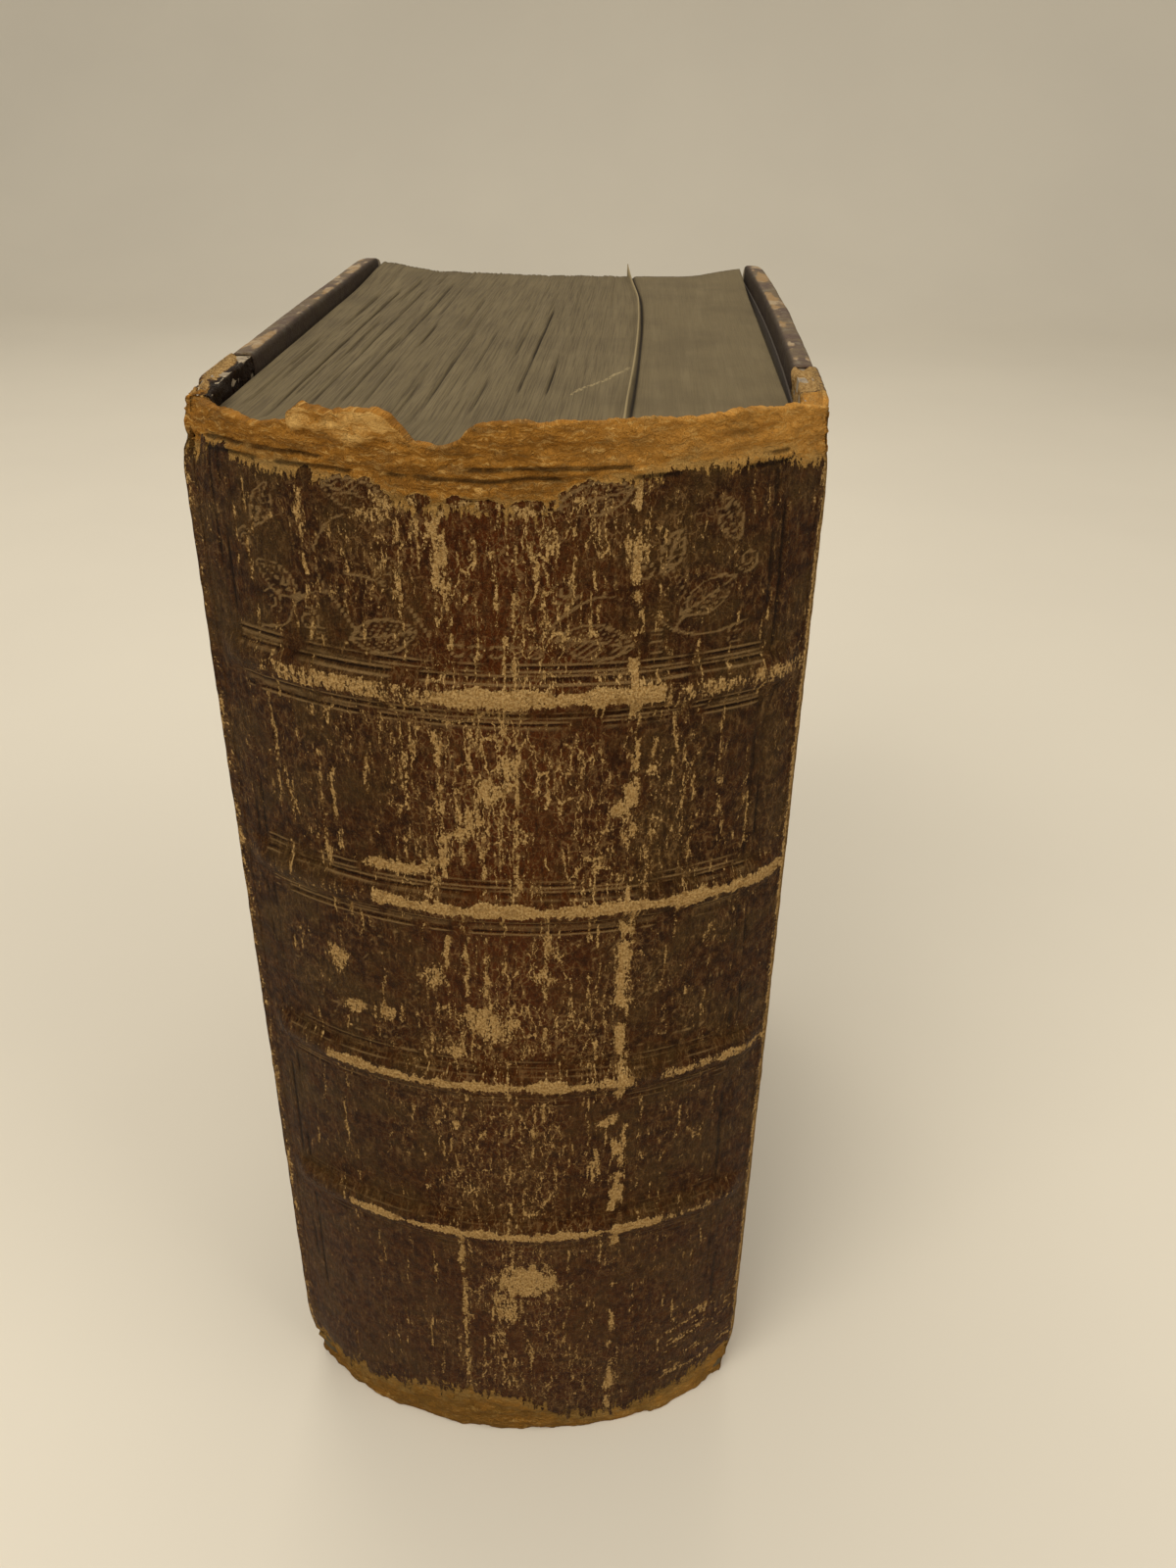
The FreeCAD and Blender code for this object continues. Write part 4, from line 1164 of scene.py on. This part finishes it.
block = {
    "stations": 378, "headPoints": 92, "forePoints": 34, "backPoints": 3,
    "foot": 2.4, "head": 187.6,
    "left": -37.75, "right": 37.15, "drift": 1.9,
    "backRadius": 63.975, "farY": 68.5, "hollow": 6.9,
    # gaps between leaves: place at their start, from, to (distance from the joint plane), depth
    "gaps": (
        (-30.5, 0, 95, 1.5), (-32.2, 60, 92, 1.1), (-26.2, 8, 78, 1.3), (-25.3, 62, 98, 1.2),
        (-22.4, 8, 52, 0.9), (-21.5, 40, 104, 1.1), (-17.8, 44, 62, 0.8), (-11.4, 4, 58, 0.9),
        (0.1, 16, 80, 1.0), (4.2, 14, 40, 0.8), (-34.6, 6, 50, 0.7), (-28.0, 30, 66, 0.8),
        (-14.8, 10, 36, 0.6), (-7.6, 20, 60, 0.6), (-33.4, 20, 44, 0.6), (-29.4, 10, 34, 0.7),
        (-24.0, 20, 40, 0.7), (-19.6, 6, 30, 0.7), (-18.6, 70, 100, 0.6), (-12.8, 60, 92, 0.5),
        (-5.0, 6, 24, 0.6), (-27.2, 84, 108, 0.7), (-23.2, 100, 118, 0.6), (-2.2, 40, 70, 0.4)),
    "proudX": 15.2, "proudHalf": 0.27,
    "proudRise": 1.7, "proudReach": 4.0,
}


def makeTextBlock():
    # every array here has a row for each leaf
    count = block["stations"]
    joint = book["jointY"]
    head = block["head"]
    foot = block["foot"]
    w = np.linspace(-1, 1, count)[:, None]
    leafX = (block["left"] + block["right"]) / 2 + w * (block["right"] - block["left"]) / 2
    angle = w * math.acos((book["spineCentreY"] - joint) / block["backRadius"])
    backX = block["backRadius"] * np.sin(angle)
    backY = book["spineCentreY"] - block["backRadius"] * np.cos(angle)
    fromProud = leafX - block["proudX"]
    proud = np.abs(fromProud) < block["proudHalf"]
    foreY = block["farY"] - block["hollow"] * (1 - np.abs(w) ** 3.2) + block["proudReach"] * proud

    rng = np.random.default_rng(11)
    rough = 1.0 - 0.9 * ramp(leafX, 6, 20)
    single = rng.normal(0, 0.06, count)[:, None] * rough
    group = 0.34 * swing(leafX / 3.1, 0, 251, 3) * (0.5 + 0.5 * rough)

    def plan(t):
        # x and y of every leaf from the back (t = 0) to the fore-edge (t = 1): the leaves drift to
        # one side, and the proud one curls, with its neighbours after it
        y = backY + t * (foreY - backY)
        away = y - joint
        drift = block["drift"] * (1 - ramp(leafX, -4, 18)) * np.clip(away, 0, 200) / 100
        wave = 0.35 * swing(leafX / 7, away / 35, 255, 1)
        bow = 1.2 * np.sin(np.clip(away, 0, 120) / 120 * np.pi) - 1.6 * ramp(away, 85, 124)
        shift = (drift + wave) * (1 - np.abs(w) ** 6) + bow * peak(fromProud, 2.6)
        inLeaf = np.clip((y - backY) / np.maximum(joint + 0.05 - backY, 0.05), 0, 1)
        return backX * (1 - inLeaf) + (leafX + shift) * inLeaf, y

    t = np.linspace(0, 1, block["headPoints"])
    t = t + 0.03 * np.sin(2 * np.pi * t)
    headX, headY = plan(t)
    away = headY - joint
    gap = np.zeros(headX.shape)
    for place, start, stop, depth in block["gaps"]:
        line = leafX[np.argmin(np.abs(leafX - place + block["drift"] * start / 100))]
        run = window(away, start - 4, start + 6, stop - 6, stop + 4)
        lively = 0.6 + 0.4 * ramp(noise(away / 9, place, 261), 0.2, 0.6)
        gap = np.maximum(gap, peak(leafX - line, 0.15) * run * lively * depth)
    fineGap = 0.35 * ramp(rng.random(count)[:, None], 0.86, 1.0) * rough
    small = fineGap * ramp(layered(leafX * 3, away / 22, 262, 2), 0.5, 0.75)
    headZ = head + single + group - gap - small
    headZ = headZ + 0.16 * swing(leafX / 2, away / 12, 263, 3) * (0.4 + 0.6 * rough)
    rise = block["proudRise"] * ramp(away, 1, 12) * (0.62 + 0.25 * np.sin(away / 9))
    headZ = np.where(proud, head + rise * (0.7 + 0.6 * ramp(away, 60, 118)), headZ)
    # the leaves just beside the proud leaf dip, and get a painted shadow through the gap map
    dipAndShadowBeside = peak(fromProud - 0.7, 0.3) * ~proud
    headZ = headZ - 0.5 * dipAndShadowBeside + 0.9 * ramp(np.abs(w), 0.7, 1.0) * ramp(away, 92, 122)
    # the gap map paints shade into the gaps between leaves and the shadow beside the proud leaf; below zero
    # it marks the paler proud leaf
    headGap = np.where(proud, -0.45, np.clip(np.maximum(gap, small * 1.2) + 0.8 * dipAndShadowBeside, 0, 1))

    foreT = np.linspace(0, 1, block["forePoints"] + 2)[1:-1]
    foreZ = headZ[:, -1:] * (1 - foreT) + foot * foreT
    foreX = leafX + (headX[:, -1:] - leafX) * (1 - foreT)
    uneven = 0.22 * swing(leafX / 1.3, foreZ / 40, 265, 3) + single
    foreYs = foreY + np.where(proud, -0.6 * foreT, uneven)
    tailX, tailY = plan(t[::-1])
    keep = np.clip((tailY - joint) / 10, 0, 1)
    tailX = tailX * (1 - keep) + leafX * keep
    tailZ = foot + np.abs(single) * 0.5 + 0.12 * layered(leafX / 2, tailY / 20, 266, 2)
    backZ = foot + np.linspace(0, 1, block["backPoints"] + 2)[1:-1] * (headZ[:, :1] - foot)
    backYs = backY + 0 * backZ

    x = np.concatenate([headX, foreX, tailX, backX + 0 * backZ], axis=1)
    y = np.concatenate([headY, foreYs, tailY, backYs], axis=1)
    z = np.concatenate([headZ, foreZ, tailZ, backZ], axis=1)
    rows = x.shape[1]
    faces = gridFaces(rows, count, closeRows=True)
    n = block["headPoints"]
    f = block["forePoints"]
    sideFaces = []
    for start in (0, (count - 1) * rows):
        end = start + 2 * n + f - 1         # the tail's point below the head's first one
        strip = [(start + k, start + k + 1, end - k - 1, end - k) for k in range(1, n - 2)]
        strip.append(tuple(start + k for k in range(n - 2, n + f + 2)))
        backOnes = tuple(end + 1 + k for k in range(block["backPoints"]))
        strip.append((start, start + 1, end - 1, end) + backOnes)
        sideFaces += [tuple(reversed(p)) for p in strip] if start else strip
    obj = buildMesh("textBlock", np.stack([x, y, z], axis=-1).reshape(-1, 3), faces + sideFaces)
    standFor(obj, "text_block", leafEdges, "book_block")
    obj.data.materials.append(endpaper)
    slots = np.zeros(len(obj.data.polygons), np.int32)
    slots[len(faces):] = 1
    obj.data.polygons.foreach_set("material_index", slots)
    across = leafX + 0 * x
    along = np.concatenate([headY, foreY + head - foreZ, tailY + 400, backYs], axis=1)
    store(obj, "leaf", np.stack([across, along, 0 * across], axis=-1), vector=True)
    # painted shade in the small gaps on the fore-edge and at the tail
    foreGap = small[:, -1:] + 0 * foreZ
    tailGap = small[:, :1] + 0 * tailX
    store(obj, "gap", np.concatenate([headGap, foreGap, tailGap, 0 * backZ], axis=1))
    store(obj, "ruffled", 0.2 + 0.8 * rough + 0 * x)


makeTextBlock()


# pieces kept from the frame

def finishNode(name, material):
    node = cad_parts[name]
    node.data.materials.clear()
    node.data.materials.append(material)


for coverName in covers:
    finishNode(coverName + "_pastedown", endpaper)
for number in range(1, 5):
    finishNode("sewing_cord_%d" % number, hemp)


# camera, floor and lamps

shot = {
    "place": (17.0, -217.0, 229.5), "pitch": 30.33, "yaw": -1.99, "roll": 0.90, "lens": 29.196,
}


def makeCamera():
    pitch, yaw, roll = (math.radians(shot[key]) for key in ("pitch", "yaw", "roll"))
    forward = np.array([math.sin(yaw) * math.cos(pitch), math.cos(yaw) * math.cos(pitch), -math.sin(pitch)])
    right = np.array([math.cos(yaw), -math.sin(yaw), 0.0])
    up = np.cross(right, forward)
    turnedRight = math.cos(roll) * right + math.sin(roll) * up
    turnedUp = -math.sin(roll) * right + math.cos(roll) * up
    data = bpy.data.cameras.new("camera")
    data.lens = shot["lens"]
    data.sensor_width = 36
    data.sensor_fit = "AUTO"
    data.clip_start = 0.01
    data.clip_end = 20
    camera = bpy.data.objects.new("camera", data)
    bpy.context.scene.collection.objects.link(camera)
    matrix = np.eye(4)
    matrix[:3, 0] = turnedRight
    matrix[:3, 1] = turnedUp
    matrix[:3, 2] = -forward
    matrix[:3, 3] = np.array(shot["place"]) / 1000
    camera.matrix_world = Matrix(matrix.tolist())
    bpy.context.scene.camera = camera


makeCamera()

stage = {
    "half": 1600.0, "floorY": -1200.0, "wallY": 1500.0, "bend": 500.0, "top": 2000.0,
    "colour": "#d6ccb7", "cloud": "#bdb3a2",
}


def makeFloor():
    # a sheet that runs back and bends up behind the book
    path = [(-stage["half"], 0.0)]
    straight = stage["wallY"] - stage["bend"]
    path += [(y, 0.0) for y in np.linspace(stage["floorY"], straight, 30)]
    path += [(straight + stage["bend"] * math.sin(a), stage["bend"] * (1 - math.cos(a)))
             for a in np.linspace(0, math.pi / 2, 24)[1:]]
    path += [(stage["wallY"], z) for z in np.linspace(stage["bend"], stage["top"], 8)[1:]]
    xs = np.linspace(-stage["half"], stage["half"], 20)
    points = [(x, y, z) for x in xs for y, z in path]
    obj = buildMesh("floor", np.array(points), gridFaces(len(path), len(xs)))
    # matt painted board: even and pale, so that the object's shadow shows
    material, tree, shader = newMaterial("paleMattBoard", {"Roughness": 0.7})
    cloud = mottle(tree, add(tree, "TexCoord", out="Object"), 6, 3, 0.5)
    base = layColours(tree, colour(stage["colour"]), (colour(stage["cloud"]), (cloud, 0.3, 0.7, 0.12)))
    tree.links.new(base, shader.inputs["Base Color"])
    obj.data.materials.append(material)


makeFloor()

# name, place, size and power (W) of each lamp, all pointed at the book
lamps = (
    ("keyLamp", (-380, -620, 850), 600, 6.0),
    ("sideLamp", (650, -350, 700), 600, 2.5),
    ("backLamp", (-150, 600, 900), 700, 3.5),
)


def makeLamps():
    for name, place, size, power in lamps:
        data = bpy.data.lights.new(name, "AREA")
        data.shape = "SQUARE"
        data.size = size / 1000
        data.energy = power
        data.color = (1.0, 0.97, 0.93)
        lamp = bpy.data.objects.new(name, data)
        lamp.location = Vector(place) / 1000
        lamp.rotation_euler = (Vector((0, 0, 0.1)) - lamp.location).to_track_quat("-Z", "Y").to_euler()
        bpy.context.scene.collection.objects.link(lamp)
    world = bpy.data.worlds.new("softSky")
    world.use_nodes = True
    sky = world.node_tree.nodes["Background"]
    sky.inputs["Color"].default_value = (1.0, 0.98, 0.95, 1.0)
    sky.inputs["Strength"].default_value = 0.55
    bpy.context.scene.world = world


makeLamps()
bpy.context.scene.view_settings.view_transform = "Standard"

print("scene ready")
